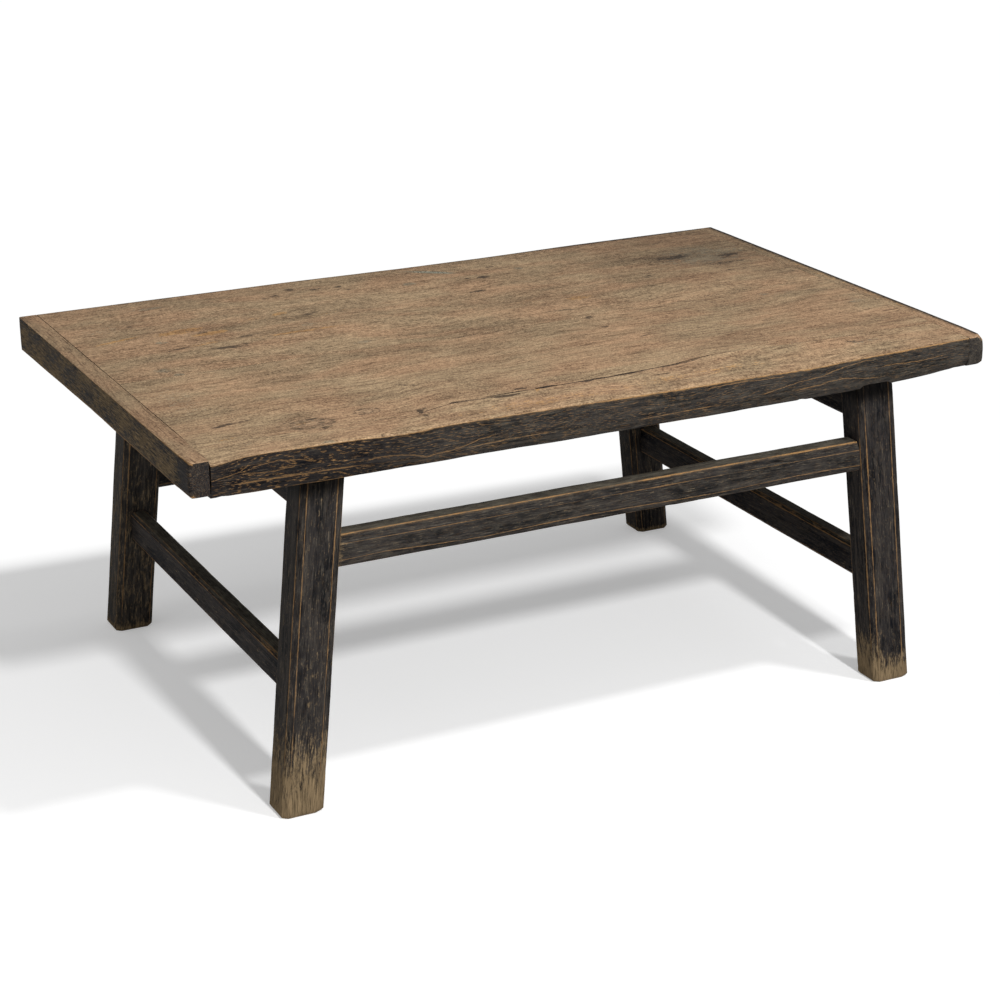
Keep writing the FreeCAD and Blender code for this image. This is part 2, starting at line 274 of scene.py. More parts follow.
# Black lacquer over elm, thin, old and dusty: dull satin, bluish where thick and brown where thin,
# with the wood's fibres showing through it and bare honey-coloured wood along every rubbed edge.
worn_lacquer, tree = new_finish("worn black lacquer on elm")
felt = {label: add(tree, "ShaderNodeAttribute", attribute_name=label).outputs
        for label in ("grain", "arris", "rub", "keen", "figure", "dust_and_sheen", "darkening", "scores")}
grain = felt["grain"]["Vector"]
# Fibres are about 0.3 mm wide; they are drawn 1.2 mm wide and 20 mm long, to show at this distance.
noises = along_the_wood(tree, grain, (
    ("fibre", 1.2, 0.06, 4.0, 0.7), ("fleck", 1.8, 0.4, 3.0, 0.7), ("streak", 5.0, 0.045, 3.0, 0.6),
    ("patch", 26.0, 0.35, 4.0, 0.65), ("blotch", 9.0, 0.5, 3.0, 0.7), ("ragged", 5.0, 0.3, 3.0, 0.7),
    ("dash", 0.8, 0.12, 2.0, 0.6), ("sweep", 45.0, 0.3, 2.0, 0.6), ("bend", 42.0, 0.25, 2.0, 0.5)))
# Each layer covers what is below it where its noise lies between two levels, up to a share.
tone = linear("#0D0F14")
for label, low, high, most, colour in (
        ("patch", 0.38, 0.56, 1.0, "#262425"), ("blotch", 0.52, 0.66, 0.6, "#36322F"),
        ("streak", 0.44, 0.70, 0.7, "#3F3A36"), ("fibre", 0.54, 0.76, 0.7, "#625C53"),
        ("fleck", 0.58, 0.74, 0.4, "#6A5A46"), ("fibre", 0.46, 0.33, 0.85, "#060606")):
    share = add(tree, "ShaderNodeMapRange", [noises[label], low, high, 0, most], **SOFT)
    tone = add(tree, "ShaderNodeMix", {"Factor": share, "A": tone, "B": linear(colour)}, data_type="RGBA")
# Dust lies grey, thickest on the bars' upper faces, where the grey is also painted sheen of the faces
# that look up.
share = add(tree, "ShaderNodeMapRange", [noises["blotch"], 0.3, 0.7, 0.3, 1])
share = add(tree, "ShaderNodeMath", [share, felt["dust_and_sheen"]["Fac"]], operation="MULTIPLY")
streaky = add(tree, "ShaderNodeMapRange", [noises["fibre"], 0.35, 0.65, 0.3, 1.3])
share = add(tree, "ShaderNodeMath", [share, streaky], operation="MULTIPLY", use_clamp=True)
tone = add(tree, "ShaderNodeMix", {"Factor": share, "A": tone, "B": linear("#6B665A")}, data_type="RGBA")
# Beside the most rubbed edges the lacquer has gone thin and brown, for some 5 mm. Here and below,
# distances from an edge are in metres, and a noise adds to them, which makes their limit ragged.
THIN_RAGGED, THIN_REACH, THIN_FULL, THIN_MOST = 0.012, 0.0105, 0.004, 0.45
ragged = add(tree, "ShaderNodeMath", [noises["fleck"], THIN_RAGGED, felt["arris"]["Fac"]],
             operation="MULTIPLY_ADD")
share = add(tree, "ShaderNodeMapRange", [ragged, THIN_REACH, THIN_FULL, 0, THIN_MOST], **SOFT)
share = add(tree, "ShaderNodeMath", [share, felt["keen"]["Fac"]], operation="MULTIPLY", use_clamp=True)
tone = add(tree, "ShaderNodeMix", {"Factor": share, "A": tone, "B": linear("#80664A")}, data_type="RGBA")
# The rubbed line along an edge is 0.2 to 2 mm wide, and wider where hands and feet have been.
LINE_FINE, LINE_BROAD = 0.0003, 0.0010
width = add(tree, "ShaderNodeMapRange", [noises["sweep"], 0.34, 0.66, LINE_FINE, LINE_BROAD])
ragged = add(tree, "ShaderNodeMapRange", [noises["ragged"], 0.35, 0.65, 0.5, 1.4])
edge = add(tree, "ShaderNodeMath", [width, ragged], operation="MULTIPLY")
edge = add(tree, "ShaderNodeMath", [edge, felt["keen"]["Fac"], edge], operation="MULTIPLY_ADD")
apart = add(tree, "ShaderNodeMath", [felt["arris"]["Fac"], edge], operation="DIVIDE")
clear = add(tree, "ShaderNodeMath", [felt["keen"]["Fac"], 0.35, 0.6], operation="MULTIPLY_ADD")
bare = add(tree, "ShaderNodeMapRange", [apart, 1.3, 0.7, 0, clear], **SOFT)
# Lines rubbed across a face are a wandering 1 mm wide. The attribute holds the distances from three.
STRAY, SCORE_REACH, SCORE_FULL, SCORE_MOST = 0.004, 0.0008, 0.0002, 0.5
stray = add(tree, "ShaderNodeMath", [noises["ragged"], STRAY, -STRAY / 2], operation="MULTIPLY_ADD")
for line in add(tree, "ShaderNodeSeparateXYZ", [felt["scores"]["Vector"]]).outputs:
    off = add(tree, "ShaderNodeMath", [line, stray], operation="ADD")
    off = add(tree, "ShaderNodeMath", [off], operation="ABSOLUTE")
    drawn = add(tree, "ShaderNodeMapRange", [off, SCORE_REACH, SCORE_FULL, 0, SCORE_MOST], **SOFT)
    bare = add(tree, "ShaderNodeMath", [bare, drawn], operation="MAXIMUM")
# Growth rings, 4 mm apart, show as rows of fine dashes where the lacquer is off the hard late wood.
RINGS_PER_M, RING_BEND = (230.0, 280.0, 6.0), (0.06, 0.06, 0.0)
bent = add(tree, "ShaderNodeVectorMath", [noises["bend"].outputs["Color"], RING_BEND],
           operation="MULTIPLY")
bent = add(tree, "ShaderNodeVectorMath", [grain, bent], operation="ADD")
ring = add(tree, "ShaderNodeVectorMath", [bent, RINGS_PER_M], operation="DOT_PRODUCT")
phase = add(tree, "ShaderNodeMath", [ring.outputs["Value"]], operation="FRACT")
apart = add(tree, "ShaderNodeMath", [phase, 0.5], operation="SUBTRACT")
apart = add(tree, "ShaderNodeMath", [apart], operation="ABSOLUTE")
line = add(tree, "ShaderNodeMapRange", [apart, 0.35, 0.10, 0, 0.14], **SOFT)
line = add(tree, "ShaderNodeMath", [noises["dash"], line], operation="ADD")
line = add(tree, "ShaderNodeMapRange", [line, 0.65, 0.76], **SOFT)
line = add(tree, "ShaderNodeMath", [line, felt["figure"]["Fac"]], operation="MULTIPLY")
bare = add(tree, "ShaderNodeMath", [bare, line], operation="MAXIMUM")
honey = add(tree, "ShaderNodeMix", {"Factor": noises["fleck"], "A": linear("#4F3B28"),
                                    "B": linear("#C39764")}, data_type="RGBA")
tone = add(tree, "ShaderNodeMix", {"Factor": bare, "A": tone, "B": honey}, data_type="RGBA")
# The feet: grey-brown wood, at first in flecks between the last black, lower down all over.
FRAY_GAIN, FRAY_START, FIRST_FLECKS, ALL_GONE = 1.6, -1.9, 0.75, 1.6
fray = add(tree, "ShaderNodeMath", [noises["fleck"], noises["ragged"]], operation="ADD")
fray = add(tree, "ShaderNodeMath", [fray, noises["fibre"]], operation="ADD")
fray = add(tree, "ShaderNodeMath", [fray, FRAY_GAIN, FRAY_START], operation="MULTIPLY_ADD")
fray = add(tree, "ShaderNodeMath", [fray, felt["rub"]["Fac"]], operation="ADD")
stripped = add(tree, "ShaderNodeMapRange", [fray, FIRST_FLECKS, ALL_GONE], **SOFT)
grey = add(tree, "ShaderNodeMapRange", [noises["fibre"], 0.32, 0.66])
grey = add(tree, "ShaderNodeMix", {"Factor": grey, "A": linear("#463C2E"), "B": linear("#8B775B")},
           data_type="RGBA")
tone = add(tree, "ShaderNodeMix", {"Factor": stripped, "A": tone, "B": grey}, data_type="RGBA")
# Darkening: a painted shadow of the top on the legs below it, and a darker tone on the front edge's left
# and on the left cleat.
tint = add(tree, "ShaderNodeMath", [felt["darkening"]["Fac"], -1.0, 1.0], operation="MULTIPLY_ADD")
tone = add(tree, "ShaderNodeVectorMath", {0: tone, "Scale": tint}, operation="SCALE")
# Old lacquer is satin and bare wood is dull. Both are all but matt, for dust takes the shine off them.
SATIN, DULL, SHINE, LACQUER_IOR = 0.48, 0.7, 0.01, 1.5
FIBRE_HEIGHT = 0.5 * MM
gone = add(tree, "ShaderNodeMath", [bare, stripped], operation="MAXIMUM")
polish = add(tree, "ShaderNodeMapRange", [gone, 0, 1, SATIN, DULL])
relief = add(tree, "ShaderNodeMath", [noises["fibre"], gone], operation="SUBTRACT")
bump = add(tree, "ShaderNodeBump", {"Height": relief, "Strength": 0.5, "Distance": FIBRE_HEIGHT})
shader = add(tree, "ShaderNodeBsdfPrincipled", {"Base Color": tone, "Roughness": polish, "Normal": bump,
                                                "IOR": LACQUER_IOR, "Specular IOR Level": SHINE})
add(tree, "ShaderNodeOutputMaterial", {"Surface": shader})


def post_out(height):
    """How far the outer faces of a leg are from the middle of the table, at a height."""
    drop = 1 - height / UNDERSIDE
    return LEG_TOP_OUT_X + END_SPLAY * drop, LEG_TOP_OUT_Y + SIDE_SPLAY * drop


def chamfered(width, depth, cut, own={}):
    """The corners of a rectangular section with its edges chamfered, some to a size of their own.

    Edges count anticlockwise from the first across and the first up; each size is (across, up).
    """
    points = []
    for edge, (side, level) in enumerate(((-1, -1), (1, -1), (1, 1), (-1, 1))):
        across, up = own.get(edge, (cut, cut))
        pair = [(side * width / 2, level * (depth / 2 - up)),
                (side * (width / 2 - across), level * depth / 2)]
        points += pair if side * level > 0 else pair[::-1]
    return points


FOOT_EASE = 3.0
# By leg, (end, side): how far up the foot the lacquer is gone, in mm, the front ones most; how much
# brown wood shows through the thin lacquer above it; how much dust is on it; and the edges that were
# planed to a size of their own.
FOOT_WEAR = {(-1, -1): 125.0, (1, -1): 45.0, (-1, 1): 14.0, (1, 1): 10.0}
LEG_THIN = {(-1, -1): 0.12, (1, -1): 0.0, (-1, 1): 0.35, (1, 1): 0.15}
LEG_DUST = {(-1, -1): 0.07, (1, -1): 0.03, (-1, 1): 0.15, (1, 1): 0.07}
LEG_EDGES = {(-1, -1): {0: (7.0, 5.5), 1: (9.5, 5.0), 3: (3.0, 3.0)},
             (1, -1): {0: (7.0, 5.5), 1: (9.5, 3.5)}, (-1, 1): {3: (3.0, 3.0)}, (1, 1): {}}
# The front right foot is worn this much higher on its left side, from one x to another.
LEFT_HIGHER, LEFT_FROM, LEFT_TO = 35.0, 392.0, 404.0
# How strongly a foot is stripped at the floor, how that falls off upwards, and where thin lacquer ends.
FOOT_BARE, FOOT_FALL, THIN_LOW, THIN_HIGH = 1.35, 0.8, 150.0, 330.0
# Small bare spots on the front of the front left leg: x, height, radius.
LEG_SPOTS = [(-396, 174, 3), (-407, 139, 4), (-392, 150, 3)]
LEG_FIGURE = 0.05

for number, (end, side) in enumerate(((-1, -1), (1, -1), (-1, 1), (1, 1))):
    label = ("front" if side < 0 else "back") + ("_left" if end < 0 else "_right") + "_leg"

    def stand(u, v, w, end=end, side=side):
        """Splays the post, and rounds the edges of its sole."""
        low = np.clip(1 - w / FOOT_EASE, 0, 1)
        inset = FOOT_EASE * (1 - np.sqrt(np.clip(1 - low ** 2, 0, 1)))
        out_x, out_y = post_out(w)
        x = end * (out_x - LEG_WIDTH / 2) + u * (1 - 2 * inset / LEG_WIDTH)
        y = side * (out_y - LEG_DEPTH / 2) + v * (1 - 2 * inset / LEG_DEPTH)
        return x, y, np.minimum(w, UNDERSIDE + LET_IN)

    def feet(x, y, z, end=end, side=side):
        """How bare of lacquer the leg is: at the foot, in thin places above it and in small spots."""
        top = FOOT_WEAR[end, side]
        if (end, side) == (1, -1):
            top = top + LEFT_HIGHER * (1 - smooth(LEFT_FROM, LEFT_TO, x))
        bare = FOOT_BARE * np.clip(1 - z / top, 0, 1) ** FOOT_FALL
        bare = np.maximum(bare, LEG_THIN[end, side] * (1 - 0.6 * smooth(THIN_LOW, THIN_HIGH, z)))
        for at_x, at_z, radius in LEG_SPOTS:
            spot = (1 - smooth(0.5, 1.5, np.hypot(x - at_x, z - at_z) / radius)) * (y < -320)
            bare = np.maximum(bare, 0.6 * spot)
        return bare

    def under_top(x, y, z):
        """Painted shadow of the top: full in the last 10 mm below it, gone 36 mm below it."""
        return 0.85 * smooth(UNDERSIDE - 36, UNDERSIDE - 10, z)

    corners = chamfered(LEG_WIDTH, LEG_DEPTH, LEG_CHAMFER, LEG_EDGES[end, side])
    leg = timber(label, corners, UNDERSIDE + LET_IN, stand, worn_lacquer, seed=number + 1, rings=3.0,
                 shown={"rub": feet, "figure": lambda x, y, z: LEG_FIGURE, "darkening": under_top,
                        "dust_and_sheen": lambda x, y, z, film=LEG_DUST[end, side]: film})
    keep(leg, label)


# End frames. At each end a deep rail under the top and a lower stretcher are tenoned into the legs'
# inner faces, of the same lacquered elm with lightly chamfered edges.
STRETCHER_BOTTOM, STRETCHER_HEIGHT, STRETCHER_THICK, STRETCHER_CHAMFER = 131.0, 43.0, 24.0, 4.0
STRETCHER_IN = 389.8
RAIL_HEIGHT, RAIL_THICK, RAIL_CHAMFER = 56.0, 28.0, 3.0
RAIL_IN = 363.0
BAR_FIGURE = 0.08


def bar_top_dust_and_sheen(top, film=0.0, most=1.0):
    """Dust and painted sheen on the upper face of a bar, whose height is given, and a film of dust below
    it.
    """
    return lambda x, y, z: np.maximum(film, most * smooth(top - 2.0, top - 0.5, z))


def between_sides(middle_x, middle_z, length):
    """Lays a bar front to back, its shoulders against the legs, and a little let in."""
    def lay(u, v, w):
        z = middle_z + v
        reach = post_out(z)[1] - LEG_DEPTH + LET_IN
        return middle_x + u, (2 * w / length - 1) * reach, z
    return lay


for end in (-1, 1):
    side_name = "left" if end < 0 else "right"
    for kind, inner, thick, bottom, height, cut, seed in (
            ("stretcher", STRETCHER_IN, STRETCHER_THICK, STRETCHER_BOTTOM, STRETCHER_HEIGHT,
             STRETCHER_CHAMFER, 8),
            ("rail", RAIL_IN, RAIL_THICK, UNDERSIDE - RAIL_HEIGHT, RAIL_HEIGHT, RAIL_CHAMFER, 12)):
        label = f"{side_name}_end_{kind}"
        length = 2 * (LEG_TOP_OUT_Y - LEG_DEPTH + LET_IN)
        lay = between_sides(end * (inner + thick / 2), bottom + height / 2, length)
        bar = timber(label, chamfered(thick, height, cut), length, lay, worn_lacquer, seed=seed + end,
                     shown={"figure": lambda x, y, z: BAR_FIGURE, "dust_and_sheen": bar_top_dust_and_sheen(bottom + height)})
        keep(bar, label)


# Long stretchers. One bar joins the front legs high up and another the back legs lower down,
# tenoned into the legs. Feet resting on the front one have rounded and bared its upper edge.
LONG_HEIGHT, LONG_CHAMFER, LONG_THICK = 39.0, 6.0, 34.0
LONG_BOTTOM = {"front_stretcher": 298.0, "back_stretcher": 199.0}
LONG_FACE = {"front_stretcher": -325.1, "back_stretcher": 292.8}
# The front one's worn edges, (across, up), and the line that its lower edge wanders along.
LOWER_CUT = 7.5
LONG_WORN = {"front_stretcher": {3: (5.0, 10.5), 0: (2.5, LOWER_CUT)}, "back_stretcher": {}}
LOWER_EDGE = [(-360, 1), (-300, 3), (-240, 0), (-170, -2), (-100, 0), (-30, 1.5), (60, 0), (150, -1.5),
              (230, 1), (300, 2), (360, 0)]
# The shoulder at the front left leg is knocked bare this far from it, all at first and then less.
SHOULDER_FULL, SHOULDER_REACH = 2, 7


def follow(points, x):
    """The height of a line through read-off points."""
    return np.interp(x, *zip(*points))


def between_ends(middle_y, bottom, length, front):
    """Lays a bar left to right, its shoulders against the legs, and a little let in."""
    def lay(u, v, w):
        z = bottom + LONG_HEIGHT / 2 + v
        reach = post_out(z)[0] - LEG_WIDTH + LET_IN
        x, y = (2 * w / length - 1) * reach, middle_y + u
        if front:
            # The lower chamfer's upper edge wanders, being cut by eye.
            near = np.clip(1 - abs(z - bottom - LOWER_CUT) / LOWER_CUT, 0, 1)
            z = z + follow(LOWER_EDGE, x) * near * (u < 0)
        return x, y, z
    return lay


def stretcher_keen(x, y, z):
    """The front one's upper edge is rubbed bright, most towards its ends, and nothing else on it."""
    top = LONG_BOTTOM["front_stretcher"] + LONG_HEIGHT
    upper = smooth(top - 5, top - 1, z) * (1 - 0.3 * smooth(-380, -100, -abs(x + 60)))
    return np.where(y < -300, 1.9 * upper - 0.3, 0.0)


def shoulder(x, y, z):
    """The lacquer is knocked off where the bar meets the front left leg."""
    from_leg = x + post_out(z)[0] - LEG_WIDTH
    return 0.6 * (1 - smooth(SHOULDER_FULL, SHOULDER_REACH, from_leg)) * (y < -300)


for label, bottom in LONG_BOTTOM.items():
    middle_z = bottom + LONG_HEIGHT / 2
    length = 2 * (post_out(middle_z)[0] - LEG_WIDTH + LET_IN)
    lay = between_ends(LONG_FACE[label] + LONG_THICK / 2, bottom, length, label == "front_stretcher")
    bar = timber(label, chamfered(LONG_THICK, LONG_HEIGHT, LONG_CHAMFER, LONG_WORN[label]), length, lay,
                 worn_lacquer, seed=20 + bottom, spacing=3.5, rings=3.0, wear=0.7,
                 shown={"keen": stretcher_keen, "rub": shoulder, "figure": lambda x, y, z: BAR_FIGURE,
                        "dust_and_sheen": bar_top_dust_and_sheen(bottom + LONG_HEIGHT, film=0.14, most=0.8)})
    keep(bar, label)


# Top boards. Three wide elm boards are tongued together; scrubbing has taken the lacquer off
# their faces and left it on the edges. The front edge has sagged, and a crack follows the first joint.
TOP, HALF_DEPTH, HALF_BOARDS = 456.0, 335.0, 511.0
SEAM_FRONT, SEAM_BACK = -265.0, -18.0
BEVEL_HEIGHT, BEVEL_DEPTH = 11.0, 6.0
CRACK = [(-511, -283), (-238, -287), (-184, -270), (-107, -267), (-41, -266), (24, -264),
         (73, -261), (119, -257), (185, -244), (300, -250), (511, -256)]
FAINT_JOINT = [(-511, -18), (-185, -17), (-75, -27), (36, -20), (148, -20), (250, -12),
               (358, -2), (511, 4)]
CRACK_OPEN = [(-245, 0), (-225, 1.5), (-190, 0.4), (-172, 1.2), (-150, 0.3), (-125, 2.6), (-95, 2.8),
              (-80, 0.6), (-60, 3.2), (-42, 1.0), (-20, 0.5), (0, 2.0), (15, 2.2), (28, 0.4), (42, 2.4),
              (70, 2.2), (82, 0.3), (105, 0.9), (130, 1.6), (170, 1.4), (190, 0)]
# How far the front edge's upper arris is worn and sunk, its underside sags, and where its bevel starts.
ARRIS_DROP = [(-511, 7), (-505, 7.5), (-490, 5.5), (-470, 2.4), (-440, 2), (-400, 2.8), (-360, 3.2),
              (-330, 4), (-300, 5.8), (-275, 6.2), (-255, 5.8), (-240, 4.2), (-200, 4), (-150, 4.2),
              (-100, 4.8), (-50, 5.2), (50, 6), (100, 6.6), (150, 6.2), (200, 6.5), (250, 7.2), (290, 7),
              (320, 5.5), (350, 4.5), (400, 3), (450, 1.8), (500, 0.6), (511, 0.5)]
LIP_SAG = [(-511, 4.7), (-448, 5.8), (-345, 6.2), (-220, 6.4), (-100, 7.0), (65, 7.4), (235, 7.4),
           (400, 5.2), (428, 3.7), (455, 1.6), (483, -0.8), (505, -2.2), (511, -2.4)]
BACK_SAG = [(-511, 0), (-150, 0), (20, 1.6), (140, 1.6), (300, 0), (511, 0)]
BEVEL_LINE = [(-511, 425.5), (-480, 423), (-418, 422.5), (-340, 421.5), (-300, 419), (-250, 417.5),
              (-215, 418), (-150, 420), (-60, 421), (43, 420), (130, 421.5), (240, 422), (300, 424),
              (355, 422.5), (440, 424), (511, 426)]
# The crack and the left hairline open over the top 12 mm. The hairline is 0.6 mm wide, 1.6 at the front.
OPEN_DEPTH, CRACK_REACH = 12, 3
HAIRLINE, HAIRLINE_FRONT, HAIRLINE_FADE = 0.6, 1.6, 30
# The arris wears most in the last 12 mm before the edge, and the boards sink over 110 mm before it.
ARRIS_SHARE, ARRIS_REACH, SINK_SHARE, SINK_FROM = 0.45, 12, 0.55, -225


def lay_board(u, v, w, opening=0.0):
    """Lays a board along the table, bends its edges along the joints, and lets the front sag."""
    x, z = w - HALF_BOARDS, v
    front, back = follow(CRACK, x), follow(FAINT_JOINT, x)
    y = np.where(
        u <= SEAM_FRONT,
        -HALF_DEPTH + (u + HALF_DEPTH) * (front + HALF_DEPTH) / (SEAM_FRONT + HALF_DEPTH),
        np.where(u <= SEAM_BACK,
                 front + (u - SEAM_FRONT) * (back - front) / (SEAM_BACK - SEAM_FRONT),
                 HALF_DEPTH - (HALF_DEPTH - u) * (HALF_DEPTH - back) / (HALF_DEPTH - SEAM_BACK)))
    upper = smooth(TOP - OPEN_DEPTH, TOP, z)
    at_crack = 1 - smooth(0, CRACK_REACH, abs(u - SEAM_FRONT))
    y = y + opening * follow(CRACK_OPEN, x) / 2 * upper * at_crack
    # The boards have shrunk from the left cleat: a hairline on top, wider at the front edge.
    shrunk = np.maximum(HAIRLINE * upper, HAIRLINE_FRONT * (1 - smooth(-326, -310, y)))
    x = x + shrunk * (1 - smooth(-HALF_BOARDS, -HALF_BOARDS + HAIRLINE_FADE, x))
    low = np.clip((z - UNDERSIDE) / BEVEL_HEIGHT, 0, 1)
    high = np.clip((z - UNDERSIDE - BEVEL_HEIGHT) / (TOP - UNDERSIDE - BEVEL_HEIGHT), 0, 1)
    over = (ARRIS_SHARE * np.clip(1 - (y + HALF_DEPTH) / ARRIS_REACH, 0, 1) ** 2
            + SINK_SHARE * (1 - smooth(-HALF_DEPTH, SINK_FROM, y)))
    under = 1 - smooth(-329, -285, y)
    bevel = (follow(BEVEL_LINE, x) - UNDERSIDE - BEVEL_HEIGHT) * (1 - smooth(-334, -328, y))
    z = z - follow(BACK_SAG, x) * high * smooth(HALF_DEPTH - 60, HALF_DEPTH, y)
    z = (z - follow(LIP_SAG, x) * (1 - low) * under + bevel * (low - high)
         - follow(ARRIS_DROP, x) * high * over)
    return x, y, z


# What is on the top, in mm: x, y, half length, half width, slope along the length, strength.
DARK_FLECKS = [
    (-167, 294, 9, 9, 0, 0.9), (-135, 279, 13, 7, 0, 0.8), (-101, 276, 7, 6, 0, 0.9),
    (-95, 258, 8, 5, 0, 0.6), (-196, 271, 8, 8, 0, 0.9), (-212, 267, 7, 5, 0, 0.6),
    (-20, 290, 6, 5, 0, 0.4), (-421, 217, 6, 8, 0, 0.7), (-346, 147, 10, 6, 0.3, 0.8),
    (-190, 166, 24, 6, 0.5, 0.8), (-300, 107, 13, 5, 0.2, 0.8), (-270, 109, 40, 3, 0, 0.6),
    (-395, 91, 30, 4, 0.25, 0.8), (-338, 70, 28, 10, -0.2, 0.8), (-313, 76, 8, 5, -0.4, 0.6),
    (-33, 98, 6, 6, 0, 0.5), (131, 277, 10, 8, 0, 0.6), (76, 232, 6, 9, 0, 0.8), (99, 230, 11, 9, 0, 0.9),
    (58, 165, 17, 6, 0.2, 0.9), (305, 122, 17, 8, 0.2, 0.6), (460, 167, 16, 7, 0, 0.8),
    (470, 146, 20, 11, 0, 0.6), (385, 200, 40, 14, 0, 0.8), (470, 178, 26, 10, 0, 0.8),
    (345, 216, 45, 9, 0, 0.6), (440, 140, 38, 10, 0, 0.7), (440, 102, 25, 11, 0, 0.5),
    (465, 290, 6, 6, 0, 0.6), (108, 25, 35, 4, -0.15, 0.6), (280, 80, 9, 4, 0, 0.6),
    (312, 80, 9, 4, 0, 0.5), (490, 55, 28, 7, 0, 0.6), (-455, -228, 18, 5, 0.25, 1.0),
    (-440, -226, 50, 4, 0.22, 0.7), (-495, -228, 8, 5, 0, 0.6), (-468, -246, 40, 3, 0.2, 0.5),
    (-430, -262, 30, 3, 0.15, 0.4), (-352, -286, 12, 4, 0.4, 0.8), (-385, -250, 14, 3, 0.4, 0.8),
    (-352, -252, 16, 3, 0, 0.9), (-402, -262, 6, 10, 0, 0.5), (-233, -281, 4, 9, 0, 1.1),
    (-226, -276, 7, 3, 0.8, 1.0), (-232, -297, 4, 7, 0, 0.8), (-205, -184, 15, 4, -0.6, 0.8),
    (-258, -160, 18, 3, -0.45, 0.6), (-130, -272, 60, 1.8, 0, 1.2), (0, -266, 75, 1.8, 0.02, 1.2),
    (110, -259, 50, 1.8, 0.08, 1.1), (-183, -270, 9, 3, 0.1, 1.1), (-116, -275, 20, 3.5, 0, 1.2),
    (-90, -259, 11, 4, -0.1, 1.1), (-60, -265, 18, 3, 0, 1.1), (-5, -268, 9, 3, 0, 1.1),
    (55, -265, 16, 3, 0.1, 1.0), (20, -266, 14, 2.5, 0, 0.8), (140, -256, 40, 2, 0.2, 0.8),
    (90, -284, 17, 3, 0, 0.8), (130, -23, 9, 8, 0.5, 0.8), (126, -72, 9, 5, 0, 0.8),
    (97, -75, 5, 5, 0, 0.5), (155, -130, 17, 3.5, 0.4, 0.8), (240, -187, 22, 4, 0.1, 0.5),
    (380, -279, 20, 7, -0.2, 0.55), (402, -289, 10, 7, 0, 0.5), (355, -301, 7, 3, 0, 0.7),
    (470, -50, 26, 13, -0.2, 0.5), (475, -215, 5, 7, 0, 0.6), (475, -305, 6, 5, 0.8, 0.8),
    (265, -278, 10, 7, 0, 0.4), (508, -158, 2, 12, 0, 0.8), (330, 0, 35, 3, 0.1, 0.6),
    (-60, -28, 120, 2.5, 0.05, 0.6), (-302, -332, 4, 4, 0, 0.9), (-350, 334.5, 170, 2.5, 0, 0.9),
    (-40, 334.5, 110, 2, 0, 0.7), (260, 334.5, 230, 2.5, 0, 0.9), (534.5, 60, 2.5, 260, 0, 0.8),
    (534.5, -230, 2, 60, 0, 0.5)]
GREY_SMUDGES = [
    (-372, 291, 30, 8, 0, 0.8), (-9, 243, 13, 9, 0, 1.0), (-455, 215, 40, 35, 0, 0.4),
    (-408, 127, 9, 7, 0, 0.9), (-300, 160, 20, 10, 0, 0.4), (-208, 123, 16, 12, 0, 0.6),
    (-445, 10, 12, 10, 0, 0.9), (-180, 10, 22, 8, 0, 0.7), (46, 289, 30, 9, -0.75, 1.5),
    (165, 250, 7, 7, 0, 1.0), (430, 190, 80, 60, 0, 0.8), (350, 272, 35, 18, 0, 0.4),
    (-433, -15, 9, 9, 0, 0.8), (-468, -120, 26, 80, 0, 0.5), (-365, -265, 42, 26, 0, 0.45),
    (-285, -255, 17, 13, 0, 0.4), (395, -33, 10, 7, 0, 0.8), (430, -35, 25, 16, 0, 0.5),
    (485, -115, 20, 15, 0, 0.6), (410, -215, 26, 10, 0.2, 0.4), (385, -282, 30, 13, 0, 0.6),
    (-455, -300, 14, 9, 0, 0.5), (310, -245, 18, 14, 0, 0.4), (-367, -331, 9, 4, 0, 1.0)]
HONEY_STREAKS = [
    (-372, -262, 16, 4, 0.2, 0.8), (-455, 161, 42, 4, 0.27, 1.1), (-370, 165, 38, 12, 0.1, 0.9),
    (-335, 140, 28, 9, 0.1, 1.2), (-265, 176, 22, 8, 0, 0.5), (-225, 185, 17, 8, 0.3, 0.8),
    (-360, 97, 40, 5, 0.1, 0.7), (-230, 95, 65, 5, 0.02, 0.9), (-170, 158, 45, 3, 0.2, 0.5),
    (205, 195, 9, 4, 0, 0.7), (165, 70, 22, 11, 0, 0.7), (95, 85, 22, 11, 0, 0.4),
    (-75, -272, 5, 5, 0.8, 1.0), (-90, -310, 140, 14, 0.02, 0.5), (120, -300, 160, 12, 0.06, 0.5),
    (-480, -275, 35, 3, 0.1, 0.6), (190, -262, 40, 4, 0.3, 0.5), (-440, -200, 70, 3, 0.12, 0.4),
    (-380, -150, 90, 3, 0.05, 0.35), (400, -60, 90, 3, 0.1, 0.35), (524, 0, 6, 320, 0, 0.5)]
# Broad shades of the top: darker where positive. Most are the wood's own tone; the two long strips along
# the front edge, at (220, -335) and (420, -335), are painted shade on the sagging lip, which faces the
# lamps. x, y, half length, half width, slope, strength.
SHADES = [
    (540, 330, 300, 300, 0, 0.36), (150, 215, 190, 90, 0, 0.09), (-540, 0, 55, 600, 0, 0.08),
    (540, 60, 90, 200, 0, 0.13), (0, 335, 800, 70, 0, 0.115), (100, 60, 320, 200, 0, 0.03),
    (330, 60, 250, 220, 0, 0.05), (220, -335, 330, 22, 0, 0.12), (420, -335, 200, 34, 0, 0.06),
    (-476, -334, 20, 5, 0, 0.2), (420, -130, 230, 190, 0, 0.045)]
# Lighter where these lie, by the same columns: the wood's own tone, and on the front arris, at (-360,
# -332) and (-190, -334), a pale worn facet with a painted highlight.
BRIGHTS = [
    (-230, 60, 170, 55, 0, 0.05), (-330, 290, 140, 60, 0, 0.04), (-360, -332, 62, 7, 0, 0.3),
    (-190, -334, 50, 4, 0, 0.06)]
